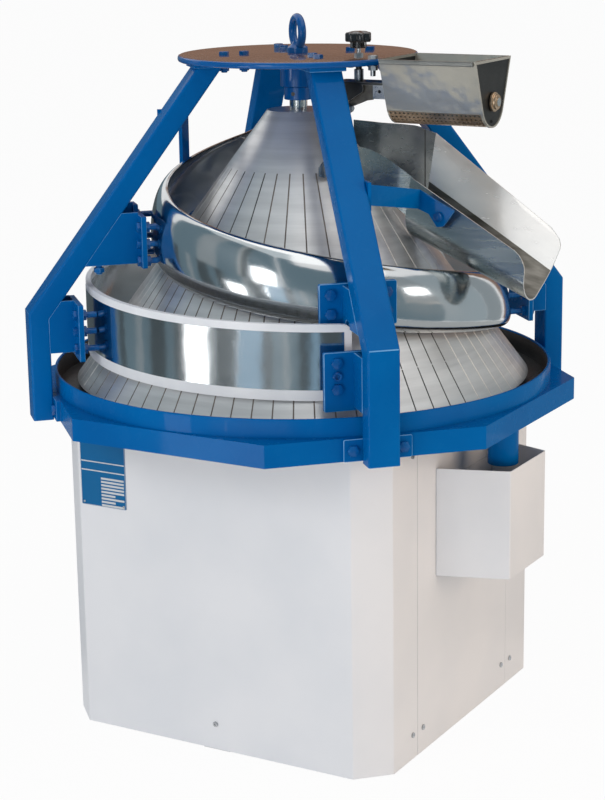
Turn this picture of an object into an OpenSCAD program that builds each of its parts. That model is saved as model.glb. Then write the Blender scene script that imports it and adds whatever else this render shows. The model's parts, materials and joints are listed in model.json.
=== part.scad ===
// Conical dough rounder: a grooved cone turns inside a spiral track and
// rolls dough pieces up to a discharge chute, under a flour duster.
// Millimetres, +Z up. The front of the cabinet faces -Y, the catch bin is on +X.
// The origin lies on the floor, on the axis of the cone.

/* [Shown part] */

/* [Cabinet] */
// half width over the panels
cab_half = 363;
// width of the corner chamfers along each side
cab_chamfer = 58;
// thickness of the panel sheet
cab_sheet = 2;
// top of the panels and of the deck
cab_top = 636;
// distance of the side seams from the middle plane
seam_y = 205;
// thickness of the base plate and of the deck
base_plate_t = 6;
deck_t = 8;
// width and wall of the chassis tube
chassis_tube = 40;
chassis_wall = 3;
// blue plate on the front
label_width = 106;
label_height = 135;

/* [Tray] */
// outside of the tray ring beyond the sides of the cabinet
tray_over = 137;
ring_wall = 6;
ring_height = 40;
// tray floor above the cabinet, and its thickness
floor_rise = 42;
floor_t = 4;
// octagonal skirt: room to the ring over its flats, gap to the cabinet, height
skirt_gap = 6;
skirt_lift = 3;
skirt_height = 43.5;
// drain spout: outer radius and wall
spout_r = 30;
spout_wall = 3;
// seam between the sheets of the tray floor
floor_seam = 0.3; // [0.2:0.1:0.6]

/* [Cone] */
// room between the foot of the cone and the outside of the ring
cone_gap = 45;
// foot of the cone above the tray floor
cone_lift = 15.6;
cone_height = 524.9;
cone_top_r = 62;
// height of the lower section
cone_seam = 78.4;
cone_wall = 10.1;
shaft_r = 17.5;

/* [Posts] */
post_angles = [45, -45, -135, 135];
post_width = 60;
post_depth = 40;
post_wall = 4;
// outer face of the posts beyond the skirt
post_stand = 48;
// bend above the tray ring
post_kink = 132;
// outer face of the posts under the top plate
post_head_r = 208;
// head of the posts above the cone
post_rise = 89.5;
// plate welded on each head
head_t = 8;

/* [Top plate] */
// edge of the plate beyond the posts
plate_over = 27;
plate_t = 12;

/* [Tracks] */
// wall of the lower track inside the foot of the cone
lower_gap = 28;
lower_bulge = 8;
lower_wall = 3;
lower_start = 42;
lower_end = -200;
// bottom edge at the front above the foot of the cone
lower_lift = 47.4;
lower_rise = 12.4;
lower_height = 142;
// edging stands clear of the cone
edging_clear = 1.6;
upper_start = 160;
upper_end = -200;
upper_bulge = 26;
upper_wall = 3;
// bottom and top edge at the front above the foot of the cone
upper_low = 195;
upper_high = 329.8;
// highest bottom and top edge below the top of the cone
upper_low_drop = 178.5;
upper_high_drop = 58.5;

/* [Flour duster] */
// pivot inside the edge of the top plate
swing_in = 70;
swing_y = -55;
hop_y = -50;
// hopper beyond the pivot, and its length
hop_reach = 79;
hop_length = 198;
// agitator shaft below the top plate
hop_drop = 62;
hop_round = 47;
// rim above the agitator shaft
hop_rise = 78;
hop_half = 77;

/* [Catch bin] */
// gap to the cabinet
bin_gap = 1;
// rim below the top of the cabinet
bin_drop = 74;
bin_height = 216;
// half width at the cabinet and its loss to the front
bin_back_half = 127;
bin_taper = 44;

/* [Drive] */
// motor axis inside the rear panel
motor_in = 153;
pulley_z = 180;
small_pulley_r = 30;
// room between the pulleys
pulley_room = 30;
hub_r = 40;

/* [Hidden] */
$fn = 64;
eps = 0.01;
blue = [0.0, 0.27, 0.56];
white = [0.86, 0.87, 0.88];
steel = [0.70, 0.71, 0.73];
dark = [0.10, 0.10, 0.11];

// Levels and radii that follow from the sizes above
ring_radius = cab_half + tray_over;
deck_bottom = cab_top - deck_t;
chassis_x = cab_half - cab_sheet - chassis_tube / 2;
floor_top = cab_top + floor_rise;
floor_bottom = floor_top - floor_t;
ring_top = floor_top + ring_height;
skirt_flat = ring_radius + skirt_gap;
skirt_bottom = cab_top + skirt_lift;
skirt_top = skirt_bottom + skirt_height;
foot_z = skirt_bottom + 22;
foot_t = 8.5;
cone_base_r = ring_radius - cone_gap;
cone_base_z = floor_top + cone_lift;
cone_top_z = cone_base_z + cone_height;
cone_seam_z = cone_base_z + cone_seam;
cone_slope = (cone_base_r - cone_top_r) / cone_height;
post_kink_r = skirt_flat + post_stand;
post_kink_z = ring_top + post_kink;
post_top = cone_top_z + post_rise;
post_lean = (post_kink_r - post_head_r) / (post_top - post_kink_z);
head_bolts = [post_head_r - 100, post_head_r - 60];
plate_r = post_head_r + plate_over;
plate_bottom = post_top + head_t;
plate_top = plate_bottom + plate_t;
lower_r = cone_base_r - lower_gap;
lower_z0 = cone_base_z + lower_lift;
swing_x = plate_r - swing_in;
hop_x0 = swing_x + hop_reach;
hop_x1 = hop_x0 + hop_length;
hop_shaft_z = plate_bottom - hop_drop;
hop_top = hop_shaft_z + hop_rise;
stop_bolt = [plate_r - 26, swing_y - 26];
spout_x = cab_half + tray_over / 2 + 14.5;
bin_back = cab_half + bin_gap;
bin_front = spout_x + spout_r + 24;
bin_top = cab_top - bin_drop;
bin_bottom = bin_top - bin_height;
motor_y = cab_half - motor_in;
motor_r = (motor_y - 70) / 2;
big_pulley_r = motor_y - small_pulley_r - pulley_room;

// Helpers

// Plan angle phi counts from the front (-Y) towards the right (+X).
function pol(r, phi, z) = [r * sin(phi), -r * cos(phi), z];
function deg2rad(a) = a * PI / 180;

// local x points outwards at phi, local y along growing phi
module radial(phi) {
    rotate([0, 0, phi - 90]) children();
}

// Square with chamfered corners, as plan points.
function cham_square(h, c) = [[-h, -(h - c)], [-(h - c), -h], [h - c, -h],
    [h, -(h - c)], [h, h - c], [h - c, h], [-(h - c), h], [-h, h - c]];

module hex(across, height) {
    cylinder(d = across / cos(30), h = height, $fn = 6);
}

// Box from corner to corner.
module block(a, b) {
    translate(a) cube(b - a);
}

// Solid through a row of rings with the same number of points. Each ring runs
// out along one side of a sheet and back along the other.
module loft(rings) {
    m = len(rings[0]);
    k = len(rings);
    pts = [for (ring = rings) for (p = ring) p];
    sides = [for (j = [0 : k - 2]) for (i = [0 : m - 1])
        for (tri = [[j * m + i, (j + 1) * m + i, j * m + (i + 1) % m],
                    [j * m + (i + 1) % m, (j + 1) * m + i, (j + 1) * m + (i + 1) % m]]) tri];
    half = m / 2;
    cap0 = [for (i = [0 : half - 2])
        for (tri = [[i, i + 1, m - 1 - i], [i + 1, m - 2 - i, m - 1 - i]]) tri];
    o = (k - 1) * m;
    cap1 = [for (i = [0 : half - 2])
        for (tri = [[o + i + 1, o + i, o + m - 1 - i],
                    [o + i + 1, o + m - 1 - i, o + m - 2 - i]]) tri];
    polyhedron(points = pts, faces = concat(sides, cap0, cap1));
}

// Cabinet

module base_plate() {
    color(steel) difference() {
        union() {
            linear_extrude(base_plate_t) polygon(cham_square(cab_half - 4, cab_chamfer - 1));
            for (s = [0, 180]) rotate([0, 0, s])
                block([-30, cab_half - 10, 0], [30, cab_half - cab_sheet, screw_low + 22]);
        }
        for (x = [-1, 1]) for (y = [-1, 1])
            translate([x * (cab_half - 93), y * (cab_half - 93), -1]) cylinder(d = 14, h = base_plate_t + 2);
    }
}

module upright_block(sx, sy, t) {
    a = chassis_tube / 2 - t;
    b = 0.75 * chassis_tube - t;
    block([sx * chassis_x - a, sy * seam_y - b, base_plate_t + t],
          [sx * chassis_x + a, sy * seam_y + b, deck_bottom - t]);
}

module upright(sx, sy) {
    difference() {
        upright_block(sx, sy, 0);
        upright_block(sx, sy, chassis_wall);
    }
}

module chassis() {
    a = chassis_tube / 2;
    color(steel) union() {
        for (sx = [-1, 1]) for (sy = [-1, 1]) upright(sx, sy);
        for (sx = [-1, 1]) for (z = [60, deck_bottom - chassis_tube])
            block([sx * chassis_x - a, -(seam_y - 1.5 * a), z],
                  [sx * chassis_x + a, seam_y - 1.5 * a, z + chassis_tube]);
        for (sy = [-1, 1])
            block([a - chassis_x, sy * seam_y - a, deck_bottom - chassis_tube],
                  [chassis_x - a, sy * seam_y + a, deck_bottom]);
    }
}

module deck() {
    color(steel) difference() {
        union() {
            translate([0, 0, deck_bottom]) linear_extrude(deck_t)
                polygon(cham_square(cab_half - cab_sheet - 0.5, cab_chamfer - 1));
            translate([0, 0, cab_top]) cylinder(r = cab_half - 63, h = floor_bottom - cab_top);
        }
        translate([0, 0, cab_top]) cylinder(r = cab_half - 83, h = floor_rise);
        translate([0, 0, deck_bottom - deck_t]) cylinder(r = hub_r, h = 3 * deck_t);
    }
}

module shell_plan() {
    difference() {
        polygon(cham_square(cab_half, cab_chamfer));
        polygon(cham_square(cab_half - cab_sheet, cab_chamfer - 0.586 * cab_sheet));
    }
}

module end_panel(s) {
    reach = cab_half + 10;
    difference() {
        translate([0, 0, 2]) linear_extrude(cab_top - 2) intersection() {
            shell_plan();
            translate([-reach, s > 0 ? seam_y + 0.5 : -reach]) square([2 * reach, reach - 0.5 - seam_y]);
        }
        for (p = screw_spots) if (p[3] == s) screw_at(p) translate([0, 0, -5]) cylinder(d = 5, h = 9);
    }
}

module front_panel() {
    color(white) end_panel(-1);
}

module rear_panel() {
    color(white) end_panel(1);
}

module side_panel(s) {
    difference() {
        block([s > 0 ? cab_half - cab_sheet : -cab_half, -(seam_y - 0.5), 2],
              [s > 0 ? cab_half : -(cab_half - cab_sheet), seam_y - 0.5, cab_top]);
        for (p = screw_spots) if (p[3] == 2 * s) screw_at(p) translate([0, 0, -5]) cylinder(d = 5, h = 9);
    }
}

module left_panel() {
    color(white) side_panel(-1);
}

module right_panel() {
    color(white) side_panel(1);
}

// Screws as [face angle, sideways, height, panel]; panel -1 front, 1 rear,
// 2 right, -2 left.
screw_low = 54;
screw_levels = [screw_low - 2, cab_top - 24];
screw_spots = concat(
    [[0, 0, screw_low, -1], [180, 0, screw_low, 1]],
    [for (face = [90, -90]) for (z = screw_levels) for (side = [-1, 1])
        [face, side * (seam_y + 22), z, side * (face > 0 ? 1 : -1)]],
    [for (face = [90, -90]) for (z = screw_levels) for (side = [-1, 1])
        [face, side * (seam_y - 22), z, face > 0 ? 2 : -2]]);

// local z points out of the panel face
module screw_at(p) {
    rotate([0, 0, p[0]]) translate([p[1], -cab_half, p[2]]) rotate([90, 0, 0]) children();
}

module panel_screws() {
    color(steel) for (p = screw_spots) screw_at(p) union() {
        translate([0, 0, -cab_sheet]) cylinder(d = 5, h = cab_sheet + 1);
        cylinder(d = 11, h = 1.2);
        translate([0, 0, 1.2]) cylinder(d1 = 11, d2 = 7, h = 1.8);
    }
}

module rating_plate() {
    x0 = -(cab_half - cab_chamfer - 6);
    x1 = x0 + label_width;
    z1 = cab_top - 36;
    z0 = z1 - label_height;
    color(blue) union() {
        block([x0, -cab_half - 1.2, z0], [x1, -cab_half, z1]);
        for (x = [x0 + 6, x1 - 6]) for (z = [z0 + 6, z1 - 6])
            translate([x, -cab_half - 1, z]) rotate([90, 0, 0]) cylinder(d = 5, h = 1.2);
    }
}

// Tray

module octagon(flat) {
    rotate(22.5) circle(r = flat / cos(22.5), $fn = 8);
}

module octagon_skirt() {
    color(blue) difference() {
        union() {
            translate([0, 0, skirt_bottom]) linear_extrude(skirt_top - skirt_bottom) difference() {
                octagon(skirt_flat);
                octagon(skirt_flat - 3);
            }
            translate([0, 0, skirt_top - 3]) linear_extrude(3) difference() {
                octagon(skirt_flat - 1);
                circle(r = ring_radius, $fn = 128);
            }
        }
        for (phi = post_angles) radial(phi) for (t = [-48, 48])
            translate([skirt_flat - 11, t, foot_z]) rotate([0, 90, 0]) cylinder(r = 6, h = 20);
    }
}

module tray_ring() {
    in = ring_radius - ring_wall;
    color(blue) rotate_extrude($fn = 128)
        polygon([[in, floor_top], [ring_radius, floor_top], [ring_radius, ring_top - 2],
                 [ring_radius - 2, ring_top], [in + 2, ring_top], [in, ring_top - 2]]);
}

module tray_floor() {
    half = spout_r - spout_wall;
    low = floor_bottom - 1;
    high = floor_top + 1;
    color(dark) difference() {
        translate([0, 0, floor_bottom]) cylinder(r = ring_radius, h = floor_t, $fn = 128);
        translate([0, 0, floor_bottom - 1]) cylinder(r = 70, h = floor_t + 2);
        // square outlet over the spout, between three sheets that butt with a seam
        block([spout_x - half, -half, low], [spout_x + half, half, high]);
        block([spout_x - half - floor_seam, -ring_radius, low], [spout_x - half, ring_radius, high]);
        for (y = [-half, half])
            block([spout_x - half, y - floor_seam / 2, low], [ring_radius + 1, y + floor_seam / 2, high]);
    }
}

module drain_spout() {
    mouth = bin_top - 10;
    color(blue) translate([spout_x, 0, 0]) difference() {
        union() {
            translate([0, 0, mouth]) cylinder(r = spout_r, h = floor_bottom - mouth);
            translate([0, 0, floor_bottom - 6]) cylinder(r = spout_r + 14, h = 6);
        }
        translate([0, 0, mouth - 1]) cylinder(r = spout_r - spout_wall, h = floor_bottom - mouth + 2);
    }
}

// Posts

// height of the bend at a depth d under the outer face
function post_zk(d) = post_kink_z - d * tan(atan(post_lean) / 2);
function post_r(d, z) = z > post_zk(d)
    ? post_kink_r - d - post_lean * (z - post_zk(d)) : post_kink_r - d;

// side outline of the bent tube between two depths, from the foot to the top
function post_outline(d0, d1, z0, z1) = [[post_r(d0, z1), z1], [post_kink_r - d0, post_zk(d0)],
    [post_kink_r - d0, z0], [post_kink_r - d1, z0], [post_kink_r - d1, post_zk(d1)],
    [post_r(d1, z1), z1]];

module side_profile(width) {
    rotate([90, 0, 0]) linear_extrude(width, center = true) children();
}

// Arms as [bottom, top, radius of the flange's outer face, flange from, flange to,
// flange bottom, flange top, bolt offsets, bolt heights]; heights above the tray floor
lower_face = lower_r + 39;
function upper_face(h, gap) = cone_r(floor_top + h) + gap;
arms_front_right = [
    [50, 152, lower_face, -86, 30, 44, 154, [-62], [134, 110, 86]],
    [188, 262, upper_face(225, 100), -74, 74, 184, 266, [-54, 54], [246, 210]]];
arms_front_left = [
    [91, 193, lower_face, -30, 86, 82, 193, [62], [170, 138, 104]],
    [258, 358, upper_face(303.5, 94.5), -66, 66, 253, 354, [-50, 50], [332, 299, 266]]];
arms_back_left = [
    [110, 208, lower_face, -30, 86, 104, 210, [62], [188, 157, 124]],
    [354, 448, upper_face(401, 113.5), -62, 62, 350, 452, [-46, 46], [430, 400, 370]]];
arms_back_right = [
    [106, 202, lower_face, -86, 30, 98, 204, [-62], [184, 150, 116]]];

module post(arms) {
    difference() {
        union() {
            side_profile(post_width) polygon(post_outline(0, post_depth, foot_z - 25, post_top + 1));
            block([skirt_flat, -65, skirt_bottom + 1], [skirt_flat + foot_t, 65, skirt_top - 0.5]);
            block([post_head_r - 120, -36, post_top], [post_head_r + 8, 36, plate_bottom]);
            for (a = arms) {
                z0 = floor_top + a[0];
                z1 = floor_top + a[1];
                for (s = [-1, 1]) translate([0, s * (post_width / 2 - 4), 0]) side_profile(8)
                    polygon([[post_r(post_depth - 2, z0), z0], [a[2] - 1, z0],
                             [a[2] - 1, z1], [post_r(post_depth - 2, z1), z1]]);
                block([a[2] - 10, a[3], floor_top + a[5]], [a[2], a[4], floor_top + a[6]]);
            }
        }
        side_profile(post_width - 2 * post_wall)
            polygon(post_outline(post_wall, post_depth - post_wall, foot_z - 30, post_top));
        for (t = [-48, 48])
            translate([skirt_flat - 6, t, foot_z]) rotate([0, 90, 0]) cylinder(r = 6, h = 20);
        for (r = head_bolts)
            translate([r, 0, post_top - 1]) cylinder(r = 6, h = head_t + 4);
        for (a = arms) for (t = a[7]) for (z = a[8])
            translate([a[2] - 12, t, floor_top + z]) rotate([0, 90, 0]) cylinder(r = 6, h = 14);
    }
}

// the upper arm is cut round over the end of the lower track
module post_front_right() {
    color(blue) difference() {
        radial(45) post(arms_front_right);
        radial(45) translate([lower_r, 0, lower_z(lower_start) + lower_height - 8])
            rotate([90, 0, 0]) cylinder(r = 14, h = post_width + 4, center = true);
    }
}

module post_front_left() {
    color(blue) radial(-45) post(arms_front_left);
}

module post_back_left() {
    color(blue) radial(-135) post(arms_back_left);
}

module post_back_right() {
    color(blue) radial(135) post(arms_back_right);
}

module post_foot_bolts() {
    color(blue) for (phi = post_angles) radial(phi) for (t = [-48, 48])
        translate([0, t, foot_z]) rotate([0, 90, 0]) union() {
            translate([0, 0, skirt_flat - 12]) cylinder(r = 6, h = 22);
            translate([0, 0, skirt_flat + foot_t]) hex(19, 7.5);
            translate([0, 0, skirt_flat - 13]) hex(19, 10);
        }
}

// Top of the frame

module top_plate() {
    color(blue) difference() {
        translate([0, 0, plate_bottom]) cylinder(r = plate_r, h = plate_top - plate_bottom, $fn = 128);
        translate([0, 0, plate_bottom - 1]) cylinder(r = 10, h = plate_t + 8);
        for (phi = post_angles) radial(phi) for (r = head_bolts)
            translate([r, 0, plate_bottom - 1]) cylinder(r = 6, h = plate_t + 8);
        translate([swing_x, swing_y, plate_bottom - 1]) cylinder(r = 4.05, h = plate_t + 8);
        translate([stop_bolt[0], stop_bolt[1], plate_bottom - 1]) cylinder(r = 5, h = plate_t + 8);
    }
}

module plate_bolts() {
    color(blue) for (phi = post_angles) radial(phi) for (r = head_bolts)
        translate([r, 0, 0]) union() {
            translate([0, 0, post_top - 13]) cylinder(r = 6, h = plate_top - post_top + 18);
            translate([0, 0, plate_top]) rotate(30) hex(17, 7.5);
            translate([0, 0, post_top - 10]) rotate(30) hex(17, 10);
        }
}

module lifting_eye() {
    color(blue) union() {
        translate([0, 0, post_top]) cylinder(r = 10, h = plate_top - post_top + 6);
        translate([0, 0, plate_top]) cylinder(r = 20, h = 12);
        translate([0, 0, plate_top + 11]) cylinder(r1 = 17, r2 = 10, h = 6);
        translate([0, 0, plate_top + 40]) rotate([0, 0, 45]) rotate([90, 0, 90])
            rotate_extrude() translate([28, 0]) circle(r = 8, $fn = 32);
    }
}

module top_bearing() {
    color(steel) difference() {
        union() {
            translate([0, 0, post_top - 44]) cylinder(r = 2 * shaft_r, h = 50);
            translate([0, 0, post_top]) cylinder(r = 62, h = plate_bottom - post_top);
        }
        translate([0, 0, post_top - 48]) cylinder(r = shaft_r + 0.05, h = 43);
        translate([0, 0, post_top - 6]) cylinder(r = 10, h = 20);
    }
}

module deck_bearing() {
    color(steel) difference() {
        union() {
            translate([0, 0, cab_top]) cylinder(r = 62, h = 12);
            translate([0, 0, deck_bottom - 16]) cylinder(r = hub_r, h = cone_base_z - deck_bottom + 7.4);
        }
        translate([0, 0, deck_bottom - 28]) cylinder(r = shaft_r + 0.05, h = cone_base_z - deck_bottom + 35);
    }
}

module foot_bearing() {
    color(steel) difference() {
        union() {
            translate([0, 0, base_plate_t]) cylinder(r = 62, h = 12);
            translate([0, 0, base_plate_t]) cylinder(r = hub_r + 2, h = 60);
        }
        translate([0, 0, base_plate_t + 14]) cylinder(r = shaft_r + 0.05, h = 60);
    }
}

// Tracks

function cone_r(z) = cone_base_r - cone_slope * (z - cone_base_z);
function lower_z(phi) = lower_z0 - lower_rise * deg2rad(phi);
function lower_phi(i, n) = lower_start + (lower_end - lower_start) * i / n;
lower_steps = 48;
lip = 14;
sole = 20;

// outside of the wall at a share u of its height
function lower_ro(u) = lower_r + 4 * lower_bulge * u * (1 - u);
lower_rows = 4;

// the wall stands between the bottom and top edging
module lower_track() {
    a1 = lower_start - (lip + 0.1) * 180 / PI / lower_r;
    color(steel) loft([for (i = [0 : lower_steps])
        let (phi = a1 + (lower_end - a1) * i / lower_steps, z = lower_z(phi) + sole + 0.1,
             h = lower_height - lip - sole - 0.2)
        concat([for (j = [0 : lower_rows]) pol(lower_ro(j / lower_rows), phi, z + h * j / lower_rows)],
               [for (j = [lower_rows : -1 : 0])
                   pol(lower_ro(j / lower_rows) - lower_wall, phi, z + h * j / lower_rows)])]);
}

// U-shaped edging: along the bottom, up the open end, back along the top
module track_edging() {
    a1 = lower_start - lip * 180 / PI / lower_r;
    out = lower_r + 4;
    // the inside clears the cone, which the bottom edge nearly touches
    function in(z) = max(lower_r - lower_wall - 3, cone_r(z) + edging_clear);
    function strip(phi, za, phib, zb) = [pol(out, phi, za), pol(out, phib, zb),
        pol(in(zb), phib, zb), pol(in(za), phi, za)];
    bottom = [for (i = [lower_steps : -1 : 0])
        let (phi = a1 + (lower_end - a1) * i / lower_steps, z = lower_z(phi))
        i == 0 ? strip(lower_start, lower_z(lower_start), phi, z + sole)
               : strip(phi, z, phi, z + sole)];
    top = [for (i = [0 : lower_steps])
        let (phi = a1 + (lower_end - a1) * i / lower_steps, z = lower_z(phi) + lower_height)
        i == 0 ? strip(lower_start, lower_z(lower_start) + lower_height, phi, z - lip)
               : strip(phi, z, phi, z - lip)];
    color([0.72, 0.73, 0.75]) loft(concat(bottom, top));
}

function clamp(v, a, b) = min(max(v, a), b);
// the bottom edge climbs faster towards the back, where the rim runs level
function upper_zb(phi) = let (a = min(deg2rad(phi), 2.02))
    min(cone_base_z + upper_low - 51.7 * a + 11 * min(a, 0) * min(a, 0), cone_top_z - upper_low_drop);
function upper_zt(phi) = min(cone_base_z + upper_high - 64 * min(deg2rad(phi), 2.02),
    cone_top_z - upper_high_drop);
function upper_rb(phi) = cone_r(upper_zb(phi)) + 10 + 4 * clamp(deg2rad(phi), 0, 2);
function upper_lean(phi) = clamp(18 + 6 * deg2rad(phi), 2, 26);
function upper_ro(phi, u) = upper_rb(phi) - upper_lean(phi) * u
    + upper_bulge * sqrt(max(4 * u * (1 - u), 0));
function upper_z(phi, u) = upper_zb(phi) + (upper_zt(phi) - upper_zb(phi)) * u;
upper_steps = 60;
upper_rows = 10;
// rows lie closer together at the rims, where the band curls in
function upper_u(j) = (1 - cos(180 * j / upper_rows)) / 2;

// bulged band that climbs along the cone
module upper_track() {
    color(steel) loft([for (i = [0 : upper_steps])
        let (phi = upper_start + (upper_end - upper_start) * i / upper_steps)
        concat([for (j = [0 : upper_rows]) pol(upper_ro(phi, upper_u(j)), phi, upper_z(phi, upper_u(j)))],
               [for (j = [upper_rows : -1 : 0])
                   pol(upper_ro(phi, upper_u(j)) - upper_wall, phi, upper_z(phi, upper_u(j)))])]);
}

// bolt through an arm's flange: head outside, nut inside, tip against the track
module track_bolt(face, t, z, tip) {
    translate([0, t, z]) rotate([0, 90, 0]) union() {
        translate([0, 0, tip]) cylinder(r = 6, h = face - tip + 3);
        translate([0, 0, face]) hex(19, 7.5);
        translate([0, 0, face - 18]) hex(19, 8);
    }
}

module lower_bolts_on(phi, arm) {
    radial(phi) for (t = arm[7]) for (h = arm[8]) {
        z = floor_top + h;
        a = phi + asin(t / lower_r);
        u = (z - lower_z(a) - sole) / (lower_height - lip - sole);
        r = lower_ro(clamp(u, 0, 1));
        track_bolt(arm[2], t, z, sqrt(r * r - t * t) - 1.5);
    }
}

module upper_bolts_on(phi, arm) {
    radial(phi) for (t = arm[7]) for (h = arm[8]) {
        z = floor_top + h;
        a = phi + asin(t / (arm[2] - 20));
        u = clamp((z - upper_zb(a)) / (upper_zt(a) - upper_zb(a)), 0, 1);
        r = upper_ro(a, u);
        track_bolt(arm[2], t, z, sqrt(r * r - t * t) - 2);
    }
}

module lower_track_bolts() {
    color(blue) union() {
        lower_bolts_on(45, arms_front_right[0]);
        lower_bolts_on(-45, arms_front_left[0]);
        lower_bolts_on(-135, arms_back_left[0]);
    }
}

module upper_track_bolts() {
    color(blue) union() {
        upper_bolts_on(45, arms_front_right[1]);
        upper_bolts_on(-45, arms_front_left[1]);
        upper_bolts_on(-135, arms_back_left[1]);
        upper_bolts_on(135, arms_back_right[0]);
    }
}

// plan point at a radius and a sideways distance from the ray at phi
function beside(phi, r, t) = [r * sin(phi) + t * cos(phi), -r * cos(phi) + t * sin(phi)];

// flat bar from the left post to the rim of the upper track
module track_hanger() {
    r = upper_rb(-86) + 17.7;
    z = cone_top_z - 11.5;
    p = post_r(0, z);
    side = post_width / 2;
    foot = pol(r, -86, 0);
    head = beside(-45, p - 29.7, -side - 2.5);
    color(blue) union() {
        radial(-86) block([r - 4, -14, upper_zt(-86) - 22.5], [r + 4, 14, z + 15]);
        radial(-45) block([p - 46, -side - 6, z - 19], [p - 8, -side, z + 19]);
        loft(sheet_rings([[foot[0], foot[1], z - 15, z + 15], [head[0], head[1], z - 15, z + 15]], 8));
    }
}

// Chute

// U section in the plane across the trough: half width, depth, far rise, offset, radius
chute_dir = 87;
chute_length = 282;
// the chute starts at this height and moves out as the cone widens there
chute_z = cone_top_z - 114;
chute_k = cone_r(chute_z) / 147.35;
function arc_pts(cu, cv, r, a0, a1, n) = [for (i = [0 : n])
    [cu + r * cos(a0 + (a1 - a0) * i / n), cv + r * sin(a0 + (a1 - a0) * i / n)]];
function tan_angle(pu, pv, r, s) = atan2(pv, pu) + s * acos(r / norm([pu, pv]));
function u_section(w, rise, off, depth, r, n) =
    let (cv = -depth + r,
         a0 = tan_angle(-w / 2 - off, -cv, r, 1),
         a1 = tan_angle(w / 2 - off, rise - cv, r, -1))
    concat([[-w / 2, 0]], arc_pts(off, cv, r, a0, a1 + 360, n), [[w / 2, rise]]);

function chute_point(s, uv) =
    let (d = [sin(chute_dir), -cos(chute_dir)], a = [cos(chute_dir), sin(chute_dir)])
    [chute_k * 225.9 + d[0] * s + a[0] * uv[0], chute_k * 62.6 + d[1] * s + a[1] * uv[0],
     chute_z - 0.4966 * s + uv[1]];

function mix(a, b, f) = a + (b - a) * f;
function chute_ring(f) =
    let (s = 18 + (chute_length - 18) * f, g = s / chute_length, w = mix(98, 168, g), rise = mix(78, 13, g),
         off = mix(-33, -52, g), depth = mix(118, 85, g),
         o = u_section(w, rise, off, depth, 38, 16),
         i = u_section(w - 5, rise, off, depth - 2.5, 35.5, 16))
    concat([for (p = o) chute_point(s, p)], [for (k = [len(i) - 1 : -1 : 0]) chute_point(s, i[k])]);

module chute_trough() {
    color(steel) loft([for (k = [0 : 6]) chute_ring(k / 6)]);
}

// upright curved sheet from a row of [x, y, z bottom, z top]
function sheet_rings(line, t) = [for (i = [0 : len(line) - 1])
    let (a = line[max(i - 1, 0)], b = line[min(i + 1, len(line) - 1)],
         d = [b[0] - a[0], b[1] - a[1]], n = [-d[1], d[0]] / norm(d) * t / 2, p = line[i])
    [[p[0] + n[0], p[1] + n[1], p[2]], [p[0] + n[0], p[1] + n[1], p[3]],
     [p[0] - n[0], p[1] - n[1], p[3]], [p[0] - n[0], p[1] - n[1], p[2]]]];

// back guard behind the cone and the deflector that turns the dough outwards;
// heights above the start of the chute
chute_back = [[20, 192, -20.5, 73.5], [66, 178, -26.5, 73.5], [95, 167, -30.5, 73.5],
    [130, 155, -38.5, 74.5], [165, 141, -48.5, 75.5], [200, 128, -58.5, 74.5],
    [247.5, 113, -64.5, 64.5]];
chute_front = [[108, -115, 1.5, 17.5], [118, -106, -1.5, 33.5], [133, -79, 1.5, 51.5],
    [147, -53, -0.5, 53.5], [167, -28.5, -18.5, 47.5], [192, -8, -48.5, 31.5],
    [215, 6, -70.5, 12.5], [244, 12.5, -92.5, -8.5]];
function at_chute(line) = [for (p = line)
    [chute_k * p[0], chute_k * p[1], chute_z + p[2], chute_z + p[3]]];

module chute_throat() {
    color(steel) union() {
        loft(sheet_rings(at_chute(chute_back), 2.5));
        loft(sheet_rings(at_chute(chute_front), 2.5));
    }
}

// flat bar from the front right post, with a corner turned down for the bolt;
// its far end is given from the start of the chute
arm_z = cone_top_z - 125;
arm_root = beside(45, post_r(0, arm_z) - 30.6, post_width / 2 + 6.8);
arm_tip = [[51.1, -88.6, -62.5, -25.5], [74.1, -89.6, -70.5, -36.5],
    [92.1, -90.6, -94.5, -45.5], [105.1, -91.1, -92.5, -51.5], [126.1, -92.1, -64.5, -60.5]];

module chute_arm() {
    side = post_width / 2;
    p = post_r(0, arm_z);
    color(blue) union() {
        radial(45) block([p - 48, side, arm_z - 25.5], [p - 4, side + 6, arm_z + 26.5]);
        loft(sheet_rings(concat([[arm_root[0], arm_root[1], arm_z - 19.5, arm_z + 19.5]],
            [for (q = arm_tip) [chute_k * 225.9 + q[0], chute_k * 62.6 + q[1],
                                chute_z + q[2], chute_z + q[3]]]), 7));
    }
}

module chute_bolt() {
    color(blue) translate([chute_k * 225.9 + 96.1, chute_k * 62.6 - 62.6, chute_z - 74.5])
        rotate([90, 0, 0]) union() {
        translate([0, 0, 8]) cylinder(r = 5, h = 26);
        translate([0, 0, 31.5]) hex(17, 6.5);
        translate([0, 0, 17]) hex(17, 7.5);
    }
}

// Drive

module motor_body() {
    color([0.25, 0.30, 0.34]) difference() {
        translate([0, motor_y, 0]) union() {
            translate([0, 0, base_plate_t]) cylinder(r = motor_r + 15, h = 12);
            translate([0, 0, base_plate_t]) cylinder(r = motor_r, h = pulley_z - 40 - base_plate_t);
            translate([0, 0, pulley_z - 40]) cylinder(r1 = motor_r * 6 / 7, r2 = motor_r * 3 / 7, h = 26);
        }
        translate([0, motor_y, pulley_z - 80]) cylinder(r = 12.05, h = 80);
    }
}

module pulley_profile(r) {
    polygon([[0, 0], [r, 0], [r, 8], [r - 10, 9], [r - 10, 21], [r, 22], [r, 30], [0, 30]]);
}

module belt_loop(a, b) {
    lean = asin((a - b) / motor_y);
    circle(r = a, $fn = 128);
    translate([0, motor_y]) circle(r = b);
    polygon([[-a * cos(lean), a * sin(lean)], [a * cos(lean), a * sin(lean)],
             [b * cos(lean), motor_y + b * sin(lean)], [-b * cos(lean), motor_y + b * sin(lean)]]);
}

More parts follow.
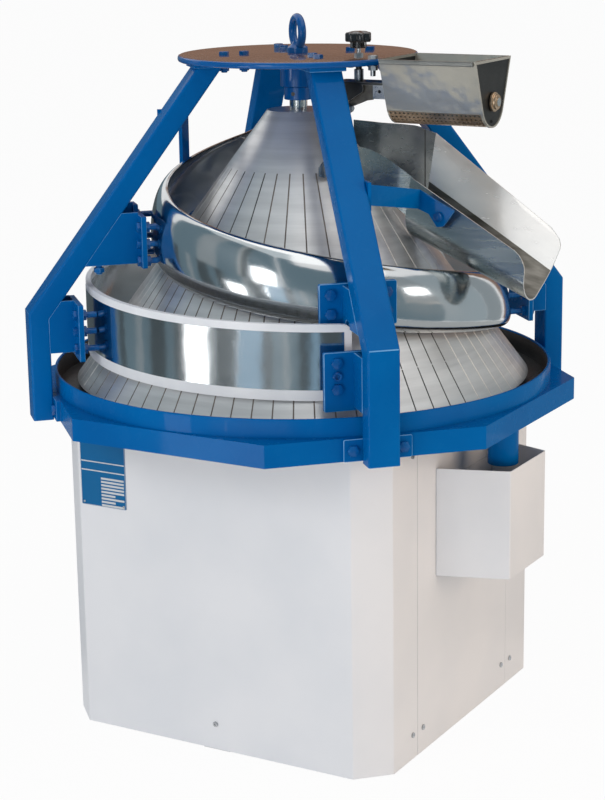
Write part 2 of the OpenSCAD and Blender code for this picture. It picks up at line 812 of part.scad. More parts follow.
module drive_belt() {
    color(dark) translate([0, 0, pulley_z + 10]) linear_extrude(10) difference() {
        belt_loop(big_pulley_r - 1, small_pulley_r - 1);
        belt_loop(big_pulley_r - 9.95, small_pulley_r - 9.95);
    }
}

module main_pulley() {
    color(steel) difference() {
        translate([0, 0, pulley_z]) union() {
            rotate_extrude($fn = 128) pulley_profile(big_pulley_r);
            translate([0, 0, -20]) cylinder(r = hub_r, h = 60);
        }
        translate([0, 0, pulley_z - 30]) cylinder(r = shaft_r, h = 90);
        for (a = [0 : 60 : 300]) rotate([0, 0, a])
            translate([(hub_r + big_pulley_r - 10) / 2, 0, pulley_z - 5])
                cylinder(r = 0.3 * (big_pulley_r - 10 - hub_r), h = 40);
    }
}

module motor_pulley() {
    color(steel) translate([0, motor_y, 0]) union() {
        translate([0, 0, pulley_z - 70]) cylinder(r = 12, h = 104);
        translate([0, 0, pulley_z]) rotate_extrude() pulley_profile(small_pulley_r);
    }
}

// middle of the switch box
switch_z = cab_top - 141;

module switch_box() {
    color([0.82, 0.83, 0.84]) difference() {
        block([-cab_half - 52, -45, switch_z - 65], [-cab_half, 45, switch_z + 65]);
        for (z = [switch_z - 30, switch_z + 30])
            translate([-cab_half - 60, 0, z]) rotate([0, 90, 0]) cylinder(r = 12.05, h = 34);
    }
}

module cable_gland() {
    color(dark) translate([-cab_half - 26, 0, 0]) union() {
        translate([0, 0, switch_z - 75]) hex(24, 10);
        translate([0, 0, switch_z - 91]) cylinder(r1 = 7, r2 = 10, h = 16);
    }
}

module button(z) {
    translate([-cab_half - 60, 0, z]) rotate([0, 90, 0]) union() {
        cylinder(r = 12, h = 26);
    }
}

module start_button() {
    color([0.10, 0.45, 0.18]) button(switch_z + 30);
}

module stop_button() {
    color([0.70, 0.08, 0.08]) button(switch_z - 30);
}

// Cone and shaft

module main_shaft() {
    foot = base_plate_t + 18;
    color(steel) translate([0, 0, foot]) cylinder(r = shaft_r, h = post_top - 8 - foot);
}

module grooves(count, z0, z1, depth, width, turn) {
    lean = atan(cone_slope);
    len = (z1 - z0) / cos(lean);
    for (i = [0 : count - 1]) rotate([0, 0, turn + i * 360 / count])
        translate([cone_r(z0), 0, z0]) rotate([0, -lean, 0])
            translate([-depth, -width / 2, 0]) cube([depth + 6, width, len]);
}

module cone_lower() {
    color([0.75, 0.75, 0.76]) difference() {
        rotate_extrude($fn = 128) polygon([[cone_r(cone_base_z), cone_base_z],
            [cone_r(cone_seam_z), cone_seam_z], [cone_r(cone_seam_z) - cone_wall, cone_seam_z],
            [cone_r(cone_base_z) - cone_wall, cone_base_z]]);
        grooves(72, cone_base_z + 4, cone_seam_z - 4, 1.2, 2.4, 2.5);
    }
}

module cone_upper() {
    groove_top = cone_top_z - 108.5;
    hub_z = cone_top_z - 53.5;
    color([0.75, 0.75, 0.76]) difference() {
        rotate_extrude($fn = 128) polygon([[cone_r(cone_seam_z), cone_seam_z],
            [cone_r(cone_top_z), cone_top_z], [shaft_r, cone_top_z], [shaft_r, groove_top],
            [2 * shaft_r - 1, groove_top], [2 * shaft_r - 1, hub_z], [cone_r(hub_z) - cone_wall, hub_z],
            [cone_r(cone_seam_z) - cone_wall, cone_seam_z]]);
        grooves(36, cone_seam_z + 4, groove_top, 1.2, 2.4, 2.9);
    }
}

module cone_spider() {
    color(steel) difference() {
        rotate_extrude($fn = 128) polygon([[shaft_r, cone_base_z],
            [cone_r(cone_base_z) - cone_wall, cone_base_z],
            [cone_r(cone_base_z + 10) - cone_wall, cone_base_z + 10], [hub_r, cone_base_z + 10],
            [hub_r, cone_base_z + 51.4], [shaft_r, cone_base_z + 51.4]]);
        for (a = [0 : 60 : 300]) rotate([0, 0, a])
            translate([(cone_base_r - 15 + hub_r) / 2, 0, cone_base_z - 4])
                cylinder(r = 0.225 * (cone_base_r - 15 - hub_r), h = 20);
    }
}

module shaft_collar() {
    color(steel) difference() {
        translate([0, 0, post_top - 70]) cylinder(r = shaft_r + 10.5, h = 25);
        translate([0, 0, post_top - 78]) cylinder(r = shaft_r, h = 40);
        radial(10) translate([10, 0, post_top - 58]) rotate([0, 90, 0]) cylinder(r = 4, h = 30);
    }
}

// Flour duster

module duster_fixings() {
    color(steel) union() {
        difference() {
            translate([swing_x, swing_y, plate_top]) hex(15, 8);
            translate([swing_x, swing_y, plate_top - 1]) cylinder(r = 4.05, h = 20);
        }
        translate([stop_bolt[0], stop_bolt[1], 0]) {
            translate([0, 0, plate_bottom - 20]) cylinder(r = 5, h = plate_t + 22);
            translate([0, 0, plate_top]) hex(16, 7);
            translate([0, 0, plate_bottom - 9]) hex(16, 9);
        }
    }
}

module duster_bracket() {
    x = swing_x;
    z = hop_shaft_z;
    cheek = [[x - 27, z - 34], [x - 3, z - 30], [x + 17, z - 14], [x + 35, z - 2], [hop_x0, z - 2],
             [hop_x0, z + 30], [x - 37, z + 30], [x - 37, z - 10]];
    far_cheek = [[x + 35, z - 2], [hop_x0, z - 2], [hop_x0, z + 30], [x - 37, z + 30], [x - 37, z + 10]];
    color(dark) difference() {
        union() {
            block([x - 43, swing_y - 27, z + 25], [hop_x0, swing_y + 27, z + 30]);
            translate([0, swing_y - 24.5, 0]) side_profile(5) polygon(cheek);
            translate([0, swing_y + 24.5, 0]) side_profile(5) polygon(far_cheek);
            block([hop_x0 - 6, swing_y - 27, z - 4], [hop_x0, swing_y + 27, z + 44]);
            translate([x, swing_y, z + 30]) cylinder(r = 9, h = 22);
            translate([x, swing_y, z + 51]) cylinder(r = 6, h = plate_bottom - 0.3 - z - 51);
        }
        translate([x, swing_y, z + 16]) cylinder(r = 4.05, h = hop_drop);
        translate([x - 12, 0, z - 22]) rotate([90, 0, 0]) cylinder(r = 5, h = 120);
    }
}

// clamp block between the cheeks, drilled across
module shaft_block() {
    color(steel) difference() {
        block([hop_x0 - 38, swing_y - 22, hop_shaft_z - 1], [hop_x0 - 6, swing_y + 22, hop_shaft_z + 25]);
        translate([hop_x0 - 24, 0, hop_shaft_z + 13]) rotate([90, 0, 0]) cylinder(r = 3, h = 120);
    }
}

module clamp_bolt() {
    color(steel) translate([swing_x - 12, swing_y, hop_shaft_z - 22]) rotate([90, 0, 0]) union() {
        translate([0, 0, 5]) cylinder(r = 5, h = 26);
        translate([0, 0, 27]) hex(15, 7);
        translate([0, 0, 14]) hex(15, 8);
    }
}

// cross section of the hopper: rounded bottom with walls leaning outwards
module hopper_plan(r, half) {
    a = atan2(hop_top - hop_shaft_z, half) - acos(r / norm([half, hop_top - hop_shaft_z]));
    in = 0.98 * r;
    circle(r = r);
    polygon([[half, hop_top - hop_shaft_z], [-half, hop_top - hop_shaft_z],
             [-in * cos(a), in * sin(a)], [in * cos(a), in * sin(a)]]);
}

// local x runs along the machine's y, local y along its z
module hopper_sweep(x0, x1) {
    translate([x0, hop_y, hop_shaft_z]) rotate([90, 0, 90]) linear_extrude(x1 - x0) children();
}

strip_z = 20;

module hopper_shell() {
    color(steel) hopper_sweep(hop_x0 + 3, hop_x1 - 5) difference() {
        union() {
            hopper_plan(hop_round, hop_half);
            for (s = [-1, 1]) translate([s * (hop_half + 1) - 3, hop_top - hop_shaft_z - 6]) square([6, 6]);
        }
        hopper_plan(hop_round - 2, hop_half - 2.1);
        translate([-100, -100]) square([200, 100 - strip_z]);
        translate([-(hop_half - 2.1), hop_top - hop_shaft_z - 6]) square([2 * (hop_half - 2.1), 10]);
    }
}

module perforated_trough() {
    color([0.62, 0.45, 0.25]) hopper_sweep(hop_x0 + 3, hop_x1 - 5) intersection() {
        difference() {
            circle(r = hop_round);
            circle(r = hop_round - 2);
        }
        translate([-100, -100]) square([200, 100 - strip_z]);
    }
}

module hopper_ends() {
    color([0.30, 0.30, 0.31]) difference() {
        union() {
            hopper_sweep(hop_x0, hop_x0 + 3) hopper_plan(hop_round, hop_half);
            hopper_sweep(hop_x1 - 5, hop_x1) hopper_plan(hop_round + 1, hop_half + 1);
            translate([hop_x0 + 3, hop_y, hop_shaft_z]) rotate([0, 90, 0]) cylinder(r = 14, h = 9);
        }
        translate([hop_x0 + 2.5, hop_y, hop_shaft_z]) rotate([0, 90, 0])
            cylinder(r = 8.05, h = hop_length + 32);
    }
}

module hopper_boss() {
    color([0.55, 0.47, 0.36]) translate([hop_x1, hop_y, hop_shaft_z]) rotate([0, 90, 0]) difference() {
        union() {
            cylinder(r = 18, h = 5);
            cylinder(r = 14, h = 10);
        }
        translate([0, 0, -1]) cylinder(r = 8.05, h = 20);
    }
}

module agitator() {
    color(steel) union() {
        translate([hop_x0 + 3, hop_y, hop_shaft_z]) rotate([0, 90, 0])
            cylinder(r = 8, h = hop_length + 9);
        for (i = [1 : 7]) translate([hop_x0 + i * hop_length / 8, hop_y, hop_shaft_z]) rotate([i * 60, 0, 0])
            translate([0, 0, 7 - hop_round]) cylinder(r = 3, h = 2 * (hop_round - 7));
    }
}

module knob_rod() {
    color(steel) translate([swing_x, swing_y, 0]) union() {
        translate([0, 0, hop_shaft_z + 18]) cylinder(r = 4, h = plate_top + 28 - hop_shaft_z - 18);
        translate([0, 0, hop_shaft_z + 17.7]) cylinder(r = 7.5, h = 7);
    }
}

module star_knob() {
    color(dark) translate([swing_x, swing_y, 0]) difference() {
        union() {
            translate([0, 0, plate_top + 17]) cylinder(r = 12, h = 14);
            translate([0, 0, plate_top + 29]) cylinder(r = 20.5, h = 17);
            translate([0, 0, plate_top + 46]) cylinder(r1 = 19, r2 = 12, h = 3);
            for (i = [0 : 6]) rotate([0, 0, i * 360 / 7])
                translate([19.5, 0, plate_top + 29]) cylinder(r = 6, h = 17);
        }
        translate([0, 0, plate_top + 12]) cylinder(r = 4, h = 16);
    }
}

// Catch bin

function bin_half(x) = bin_back_half - bin_taper * (x - bin_back) / (bin_front - bin_back);
function bin_plan(x0, x1, t) = [[x0, -bin_half(x0) + t], [x1, -bin_half(x1) + t],
    [x1, bin_half(x1) - t], [x0, bin_half(x0) - t]];

module catch_bin() {
    color(white) difference() {
        translate([0, 0, bin_bottom]) linear_extrude(bin_top - bin_bottom)
            polygon(bin_plan(bin_back, bin_front, 0));
        translate([0, 0, bin_bottom + 18]) linear_extrude(bin_height)
            polygon(bin_plan(bin_back + 2, bin_front - 2, 2.1));
        translate([0, 0, bin_bottom - 1]) linear_extrude(17)
            polygon(bin_plan(bin_back - 5, bin_front - 2, 2.1));
        block([bin_back - 5, 5 - bin_back_half, bin_top - 34],
              [bin_back + 5, bin_back_half - 5, bin_top + 5]);
    }
}

module bin_pins() {
    color(steel) for (s = [-1, 1]) translate([cab_half, s * 0.55 * bin_back_half, bin_bottom + 9.95])
        rotate([0, 90, 0]) union() {
            cylinder(r = 6, h = bin_front - bin_back - 28);
    }
}

base_plate();
chassis();
deck();
front_panel();
rear_panel();
left_panel();
right_panel();
panel_screws();
rating_plate();
octagon_skirt();
tray_ring();
tray_floor();
drain_spout();
post_front_right();
post_front_left();
post_back_left();
post_back_right();
post_foot_bolts();
top_plate();
plate_bolts();
lifting_eye();
top_bearing();
deck_bearing();
foot_bearing();
lower_track();
track_edging();
upper_track();
lower_track_bolts();
upper_track_bolts();
track_hanger();
chute_trough();
chute_throat();
chute_arm();
chute_bolt();
motor_body();
drive_belt();
switch_box();
cable_gland();
bin_pins();
duster_fixings();
main_shaft();
cone_lower();
cone_upper();
cone_spider();
shaft_collar();
main_pulley();
motor_pulley();
duster_bracket();
shaft_block();
clamp_bolt();
hopper_shell();
hopper_ends();
perforated_trough();
hopper_boss();
agitator();
knob_rod();
star_knob();
start_button();
stop_button();
catch_bin();
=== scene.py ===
# %% [markdown]
# # A conical dough rounder
# This bakery machine rolls pieces of dough into balls. A grooved cone turns inside two spiral
# tracks, the dough climbs between cone and track, and it leaves at the top by a chute. The solids
# come from the packed part. They could simply be painted, but thin sheet, rolled rims and grooves
# look better as clean meshes, so most pieces are drawn again below and stand for their solids.

# %% Read the packed part
import json
import math
from collections import namedtuple

import bmesh
import bpy
from mathutils import Matrix, Vector

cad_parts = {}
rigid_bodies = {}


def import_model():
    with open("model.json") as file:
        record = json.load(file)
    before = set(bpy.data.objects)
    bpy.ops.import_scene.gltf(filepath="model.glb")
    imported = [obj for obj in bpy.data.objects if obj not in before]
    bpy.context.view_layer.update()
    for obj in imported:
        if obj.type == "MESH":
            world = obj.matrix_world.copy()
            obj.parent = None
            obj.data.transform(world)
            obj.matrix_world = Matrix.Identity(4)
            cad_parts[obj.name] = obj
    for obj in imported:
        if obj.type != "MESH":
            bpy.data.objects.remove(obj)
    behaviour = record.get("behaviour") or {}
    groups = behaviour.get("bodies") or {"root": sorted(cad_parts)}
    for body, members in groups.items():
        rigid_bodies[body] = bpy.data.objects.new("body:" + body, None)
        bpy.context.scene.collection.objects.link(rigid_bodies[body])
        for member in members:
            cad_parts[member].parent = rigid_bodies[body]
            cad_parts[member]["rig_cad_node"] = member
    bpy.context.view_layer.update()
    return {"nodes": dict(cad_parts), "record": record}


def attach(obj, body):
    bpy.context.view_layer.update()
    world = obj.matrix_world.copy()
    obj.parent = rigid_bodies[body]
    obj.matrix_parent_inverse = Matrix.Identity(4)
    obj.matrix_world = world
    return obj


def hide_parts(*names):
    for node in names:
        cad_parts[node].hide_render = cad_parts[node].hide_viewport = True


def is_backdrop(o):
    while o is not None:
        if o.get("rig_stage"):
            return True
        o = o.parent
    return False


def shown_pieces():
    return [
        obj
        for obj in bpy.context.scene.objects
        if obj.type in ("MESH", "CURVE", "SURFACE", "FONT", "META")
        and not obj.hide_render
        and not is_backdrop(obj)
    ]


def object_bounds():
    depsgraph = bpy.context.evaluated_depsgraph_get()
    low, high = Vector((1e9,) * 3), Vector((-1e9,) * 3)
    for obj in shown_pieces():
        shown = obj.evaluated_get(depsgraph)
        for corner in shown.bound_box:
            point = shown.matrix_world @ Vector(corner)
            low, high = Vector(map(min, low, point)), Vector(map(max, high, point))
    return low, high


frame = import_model()
node_body = {}
for body, names in frame["record"]["behaviour"]["bodies"].items():
    for name in names:
        node_body[name] = body

# %% [markdown]
# ## Points and plans
# All sizes below are millimetres, as on a workshop drawing. A plan angle counts from the front
# of the machine towards the right. Blender's metres and its own angles would do as well, but a
# machine with a round plan is easier to read in its maker's measures.

# %% Points and plans
def pol(r, phi, z):
    a = math.radians(phi)
    return Vector((r * math.sin(a), -r * math.cos(a), z))


def mix(a, b, f):
    return a + (b - a) * f


def clamp(v, low, high):
    return min(max(v, low), high)


def radial(phi):
    return Matrix.Rotation(math.radians(phi - 90), 4, "Z")


def shift(x, y, z):
    return Matrix.Translation((x, y, z))


def rounded(points, radius, steps=6, closed=True):
    """A plan outline with its corners rounded."""
    made = []
    count = len(points)
    for k in range(count):
        here = Vector(points[k])
        if not closed and k in (0, count - 1):
            made.append(here)
            continue
        back = Vector(points[k - 1]) - here
        ahead = Vector(points[(k + 1) % count]) - here
        half = back.angle(ahead) / 2
        reach = min(radius / math.tan(half), 0.48 * back.length, 0.48 * ahead.length)
        start = here + back.normalized() * reach
        end = here + ahead.normalized() * reach
        for i in range(steps + 1):
            f = i / steps
            made.append(start * (1 - f) ** 2 + here * 2 * f * (1 - f) + end * f ** 2)
    return made


def circle(r, z, steps):
    """Points on a circle about the z axis."""
    angles = [2 * math.pi * i / steps for i in range(steps)]
    return [(r * math.cos(a), r * math.sin(a), z) for a in angles]


TURN_X = Matrix.Rotation(math.radians(90), 4, "Y")
TURN_Y = Matrix.Rotation(math.radians(90), 4, "X")
print("TURN_X lays the z axis along", [round(v) for v in TURN_X @ Vector((0, 0, 1))])

# %% [markdown]
# ## Shapes
# Most pieces are sheet, tube, plate or turned metal. Blender's own primitives and operators could
# make them one by one. A small class is used instead, because the same few moves come back on every
# piece: a ring drawn along a path is a sheet or a tube, a profile turned about an axis is a
# round piece, and each face keeps the number of its finish.

# %% Shapes made of rings, turned profiles and plates
class Shape:
    """Points in millimetres, the faces between them and a tone for each face."""

    def __init__(self):
        self.points = []
        self.faces = []
        self.tones = []

    def add(self, points, faces, tone=0, place=None):
        start = len(self.points)
        for p in points:
            p = Vector(p)
            self.points.append(place @ p if place else p)
        for f in faces:
            self.faces.append([start + i for i in f])
            self.tones.append(tone)

    def skin(self, rows, wrap=True, caps=True, tone=0, place=None, around=False):
        n = len(rows[0])
        m = len(rows)
        faces = []
        for j in range(m if around else m - 1):
            for i in range(n if wrap else n - 1):
                a = j * n
                b = ((j + 1) % m) * n
                faces.append([a + i, a + (i + 1) % n, b + (i + 1) % n, b + i])
        if caps and not around:
            faces.append(list(range(n))[::-1])
            faces.append([(m - 1) * n + i for i in range(n)])
        self.add([p for row in rows for p in row], faces, tone, place)

    def turned(self, profile, steps=48, tone=0, place=None, tones=None, closed=False):
        """A profile of (radius, height) turned about the local z axis."""
        for k in range(len(profile) if closed else len(profile) - 1):
            pair = (profile[k], profile[(k + 1) % len(profile)])
            rows = [circle(r, z, steps) for r, z in pair]
            self.skin(rows, caps=False, tone=tones[k] if tones else tone, place=place)
        if not closed:
            for end in (0, -1):
                cap_tone = tones[end] if tones else tone
                self.add(circle(*profile[end], steps), [list(range(steps))], cap_tone, place)

    def plate(self, outline, low, high, tone=0, place=None):
        """A flat outline made thick along the local z axis."""
        rows = [[(p[0], p[1], z) for p in outline] for z in (low, high)]
        self.skin(rows, tone=tone, place=place)

    def box(self, a, b, tone=0, place=None, corner=0.0):
        outline = [(a[0], a[1]), (b[0], a[1]), (b[0], b[1]), (a[0], b[1])]
        if corner:
            outline = rounded(outline, corner)
        self.plate(outline, a[2], b[2], tone, place)

    def hex_head(self, across, height, place, sides=48):
        """A hexagon head with its corners turned off at 30 degrees."""
        flat = across / 2
        crown = 0.95 * flat
        rows = [[], [], []]
        for i in range(sides):
            a = 2 * math.pi * i / sides
            r = flat / math.cos((a + math.pi / 6) % (math.pi / 3) - math.pi / 6)
            c, s = math.cos(a), math.sin(a)
            rows[0].append((r * c, r * s, 0))
            rows[1].append((r * c, r * s, height - (r - crown) * 0.577))
            rows[2].append((crown * c, crown * s, height))
        self.skin(rows, place=place)

    def socket_head(self, r, height, place, tone=0, hole=0.5, sides=48):
        """A round head with a hexagon socket."""
        rows = [[], [], [], [], [], []]
        for i in range(sides):
            a = 2 * math.pi * i / sides
            c, s = math.cos(a), math.sin(a)
            h = hole * r / math.cos((a + math.pi / 6) % (math.pi / 3) - math.pi / 6)
            rows[0].append((r * c, r * s, 0))
            rows[1].append((r * c, r * s, height - 0.1 * r))
            rows[2].append((0.9 * r * c, 0.9 * r * s, height))
            rows[3].append((1.12 * h * c, 1.12 * h * s, height))
            rows[4].append((h * c, h * s, height - 0.06 * r))
            rows[5].append((h * c, h * s, height * 0.35))
        self.skin(rows, tone=tone, place=place)

    def rod(self, r, low, high, place=None, sides=32):
        e = min(0.12 * r, 0.8)
        self.turned([(r - e, low), (r, low + e), (r, high - e), (r - e, high)], sides, place=place)


print("kinds of shape:", [name for name in vars(Shape) if not name.startswith("_")])

# %% [markdown]
# ## Pieces
# A piece is a shape with its finishes that rides on one body of the machine and stands for one
# solid. Real edges are never quite sharp, so a bevel eases them. It could be cut into each mesh,
# but as a modifier its width stays a single number. Plain pieces are the solid itself, dressed.

# %% Turn a shape into a piece that rides on a body
MM = 0.001
SHARP = 34


def settle(mesh, sharp):
    mesh.polygons.foreach_set("use_smooth", [True] * len(mesh.polygons))
    mesh.set_sharp_from_angle(angle=math.radians(sharp))


def soften(obj, width):
    edge = obj.modifiers.new("edge", "BEVEL")
    edge.width = width * MM
    edge.segments = 2
    edge.limit_method = "ANGLE"
    edge.angle_limit = math.radians(SHARP)
    edge.harden_normals = True
    edge.use_clamp_overlap = True


def place_piece(name, mesh, body, finishes, stands_for, edge):
    for material in finishes:
        mesh.materials.append(material)
    obj = bpy.data.objects.new(name, mesh)
    bpy.context.scene.collection.objects.link(obj)
    if edge:
        soften(obj, edge)
    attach(obj, body)
    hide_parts(*stands_for)
    return obj


def piece(name, shape, finishes, stands_for, edge=0.0, sharp=SHARP):
    mesh = bpy.data.meshes.new(name)
    mesh.from_pydata([p * MM for p in shape.points], [], shape.faces)
    mesh.polygons.foreach_set("material_index", shape.tones)
    work = bmesh.new()
    work.from_mesh(mesh)
    bmesh.ops.remove_doubles(work, verts=work.verts, dist=1e-6)
    bmesh.ops.recalc_face_normals(work, faces=work.faces)
    work.to_mesh(mesh)
    work.free()
    settle(mesh, sharp)
    return place_piece(name, mesh, node_body[stands_for[0]], finishes, stands_for, edge)


def dress(node, finishes, edge):
    """The solid itself as a piece, with eased edges and its finish."""
    work = bmesh.new()
    work.from_mesh(frame["nodes"][node].data)
    bmesh.ops.remove_doubles(work, verts=work.verts, dist=1e-5)
    bmesh.ops.dissolve_limit(work, angle_limit=math.radians(0.6), verts=work.verts, edges=work.edges)
    mesh = bpy.data.meshes.new(node + "_finished")
    work.to_mesh(mesh)
    work.free()
    settle(mesh, SHARP)
    return place_piece(node + "_finished", mesh, node_body[node], finishes, [node], edge)


print("bodies to ride on:", sorted(set(node_body.values())))

# %% [markdown]
# ## Camera
# The camera stands four metres away, a little to the right of the front and above the top plate.
# It could be placed by eye. Here its place was worked out from the tray ring, the top plate and the
# edges of the cabinet, because then the proportions can be trusted.

# %% Place the camera
scene = bpy.context.scene
CAMERA_AWAY = 4.0004
CAMERA_HEIGHT = 1.6452
FOCAL_PIXELS = 2022.12
PICTURE_HEIGHT = 800
SENSOR = 36
azimuth = math.radians(29.9325)
yaw = azimuth + math.radians(0.0185)
pitch = math.radians(14.2829)
roll = math.radians(-0.9013)
eye = Vector((CAMERA_AWAY * math.sin(azimuth), -CAMERA_AWAY * math.cos(azimuth), CAMERA_HEIGHT))
ahead = Vector((-math.sin(yaw) * math.cos(pitch), math.cos(yaw) * math.cos(pitch), -math.sin(pitch)))
right = Vector((math.cos(yaw), math.sin(yaw), 0))
upward = right.cross(ahead)
side = right * math.cos(roll) + upward * math.sin(roll)
crown = upward * math.cos(roll) - right * math.sin(roll)
camera = bpy.data.objects.new("camera", bpy.data.cameras.new("camera"))
scene.collection.objects.link(camera)
stand = Matrix((side, crown, -ahead)).transposed().to_4x4()
stand.translation = eye
camera.matrix_world = stand
camera.data.sensor_width = SENSOR
camera.data.lens = FOCAL_PIXELS * SENSOR / PICTURE_HEIGHT
camera.data.clip_end = 100
scene.camera = camera
print("camera at", [round(v, 2) for v in eye], "lens", round(camera.data.lens, 1), "mm")

# %% [markdown]
# ## Floor
# The machine stands on plain white. A curved backdrop could be modelled for that. Here the floor is
# one large sheet, because that has no bend to hide. It is white wherever the camera, a mirror or
# glass looks at it, and a matt grey is mixed in, so that the machine's shadow still shows.

# %% Lay the floor
FLOOR_REACH = 60
FLOOR_WHITE = 0.95


def seen_directly(tree):
    """One for rays from the camera, a mirror or glass, and nought for soft light."""
    ray = tree.nodes.new("ShaderNodeLightPath")
    last = ray.outputs["Is Camera Ray"]
    for kind in ("Is Glossy Ray", "Is Transmission Ray"):
        either = tree.nodes.new("ShaderNodeMath")
        either.operation = "MAXIMUM"
        tree.links.new(last, either.inputs[0])
        tree.links.new(ray.outputs[kind], either.inputs[1])
        last = either.outputs[0]
    return last


def blend_shaders(tree, share, first, second, output):
    blend = tree.nodes.new("ShaderNodeMixShader")
    tree.links.new(share, blend.inputs[0])
    tree.links.new(first.outputs[0], blend.inputs[1])
    tree.links.new(second.outputs[0], blend.inputs[2])
    tree.links.new(blend.outputs[0], tree.nodes.new(output).inputs[0])


def empty_material(name):
    material = bpy.data.materials.new(name)
    material.use_nodes = True
    material.node_tree.nodes.clear()
    return material, material.node_tree


def floor_paint():
    material, tree = empty_material("studio_floor")
    matt = tree.nodes.new("ShaderNodeBsdfDiffuse")
    matt.inputs["Color"].default_value = (0.86, 0.86, 0.86, 1)
    glow = tree.nodes.new("ShaderNodeEmission")
    glow.inputs["Strength"].default_value = 1.0
    share = tree.nodes.new("ShaderNodeMath")
    share.operation = "MULTIPLY"
    share.inputs[1].default_value = FLOOR_WHITE
    tree.links.new(seen_directly(tree), share.inputs[0])
    blend_shaders(tree, share.outputs[0], matt, glow, "ShaderNodeOutputMaterial")
    return material


def stage_sheet(name, points, faces, material):
    """A sheet of the studio that is no part of the machine."""
    mesh = bpy.data.meshes.new(name)
    mesh.from_pydata(points, [], faces)
    mesh.materials.append(material)
    obj = bpy.data.objects.new(name, mesh)
    scene.collection.objects.link(obj)
    obj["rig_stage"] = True
    return obj


corners = [(-1, -1), (1, -1), (1, 1), (-1, 1)]
floor_points = [(x * FLOOR_REACH, y * FLOOR_REACH, 0) for x, y in corners]
stage_sheet("floor", floor_points, [(0, 1, 2, 3)], floor_paint())
print("floor", 2 * FLOOR_REACH, "m wide")

# %% [markdown]
# ## Background
# The world lies beyond the floor and lights the machine from all sides. One plain colour could do
# both, but a white that bright would wash out the paint. So two are mixed: white for every ray that
# looks straight at the world, and a softer light for all the others.

# %% Set the background
SOFT_LIGHT = 0.46
scene.view_settings.view_transform = "Standard"
world = bpy.data.worlds.new("studio")
scene.world = world
world.use_nodes = True
tree = world.node_tree
tree.nodes.clear()
soft = tree.nodes.new("ShaderNodeBackground")
soft.inputs["Color"].default_value = (0.97, 0.98, 1.0, 1)
soft.inputs["Strength"].default_value = SOFT_LIGHT
white = tree.nodes.new("ShaderNodeBackground")
white.inputs["Strength"].default_value = 1.0
white.inputs["Color"].default_value = (1, 1, 1, 1)
blend_shaders(tree, seen_directly(tree), soft, white, "ShaderNodeOutputWorld")
print("soft light", SOFT_LIGHT)

# %% [markdown]
# ## Cards
# Polished steel shows only what stands round it. A picture of a room could be wrapped round the
# scene. Plain cards on a circle are used instead, because each one can be set to the stripe that it
# makes in the steel: the low row shows in the lower track, the high row in the upper track, and
# three bright cards are the softboxes. Only reflections find them.

# %% Stand the cards
CARD_AWAY = 2.5
SOFTBOX_AWAY = 2.4
SPLIT = 1.15
CEILING = 4.2


def emitter(name, colour, strength):
    material, tree = empty_material(name)
    glow = tree.nodes.new("ShaderNodeEmission")
    glow.inputs["Color"].default_value = (*colour, 1)
    glow.inputs["Strength"].default_value = strength
    tree.links.new(glow.outputs[0], tree.nodes.new("ShaderNodeOutputMaterial").inputs[0])
    return material


def for_mirrors_only(obj):
    obj.visible_camera = False
    obj.visible_diffuse = False
    obj.visible_shadow = False
    return obj


def card(name, az, distance, width, low, high, material, tilt=0.0):
    """A card on a circle around the machine, tilted inwards at the ceiling."""
    w = width / 2
    points = [(-w, 0, low), (w, 0, low), (w, tilt, high), (-w, tilt, high)]
    obj = for_mirrors_only(stage_sheet(name, points, [(0, 1, 2, 3)], material))
    a = math.radians(az)
    obj.matrix_world = shift(distance * math.sin(a), -distance * math.cos(a), 0) @ Matrix.Rotation(a, 4, "Z")


tones = {"dark": (0.075, 0.095, 0.105), "slate": (0.15, 0.22, 0.262), "grey": (0.3, 0.34, 0.36),
         "sky": (0.27, 0.42, 0.55), "pale": (0.46, 0.48, 0.48), "silver": (0.36, 0.42, 0.45),
         "brown": (0.24, 0.145, 0.105)}
boards = {name: emitter("card_" + name, colour, 1.0) for name, colour in tones.items()}
boards["softbox"] = emitter("card_softbox", (1.0, 1.0, 1.0), 3.5)
# each card: angle of its middle, angle that it covers, tone
low_row = [(-165, 60, "brown"), (-115, 40, "dark"), (-89, 12, "grey"), (-78, 10, "slate"), (-70.5, 5, "dark"),
           (-63.5, 9, "slate"), (-57, 4, "grey"), (-52, 6, "slate"), (-44, 10, "dark"), (-36.5, 5, "slate"),
           (-31, 6, "dark"), (-13, 4, "grey"), (-6, 10, "dark"), (5, 11, "sky"), (13, 5, "dark"),
           (18, 5, "slate"), (22, 3, "grey"), (26, 5, "slate"), (31, 5, "dark"), (35.5, 4, "sky"),
           (43, 11, "dark"), (60, 24, "slate"), (88, 32, "slate"), (122, 36, "silver"), (150, 20, "grey")]
set_up = [(az, span, 0.0, SPLIT, tone) for az, span, tone in low_row]
# each card: angle of its middle, angle that it covers, upper edge, tone
high_row = [(-165, 60, 3.0, "brown"), (-118, 34, 1.8, "slate"), (-92, 18, 1.8, "slate"),
            (-79, 6, 1.9, "pale"), (-62, 28, CEILING, "slate"), (-40, 16, CEILING, "grey"),
            (-25, 14, CEILING, "slate"), (-16.5, 3, CEILING, "pale"), (-12.5, 5, CEILING, "dark"),
            (0, 20, CEILING, "slate"), (18, 13, CEILING, "slate"), (30, 11, 3.05, "slate"),
            (45, 20, 3.0, "slate"), (70, 28, 3.0, "slate"), (94, 20, 3.0, "grey"),
            (122, 36, 3.0, "silver"), (150, 20, 3.0, "grey")]
set_up += [(az, span, SPLIT, high, tone) for az, span, high, tone in high_row]
set_up += [(-21.5, 13, 0.0, SPLIT, "slate"), (-21.5, 12, 0.0, 0.75, "softbox"), (0, 15, 1.1, 1.8, "softbox"),
           (95, 14, 1.52, 1.88, "softbox")]
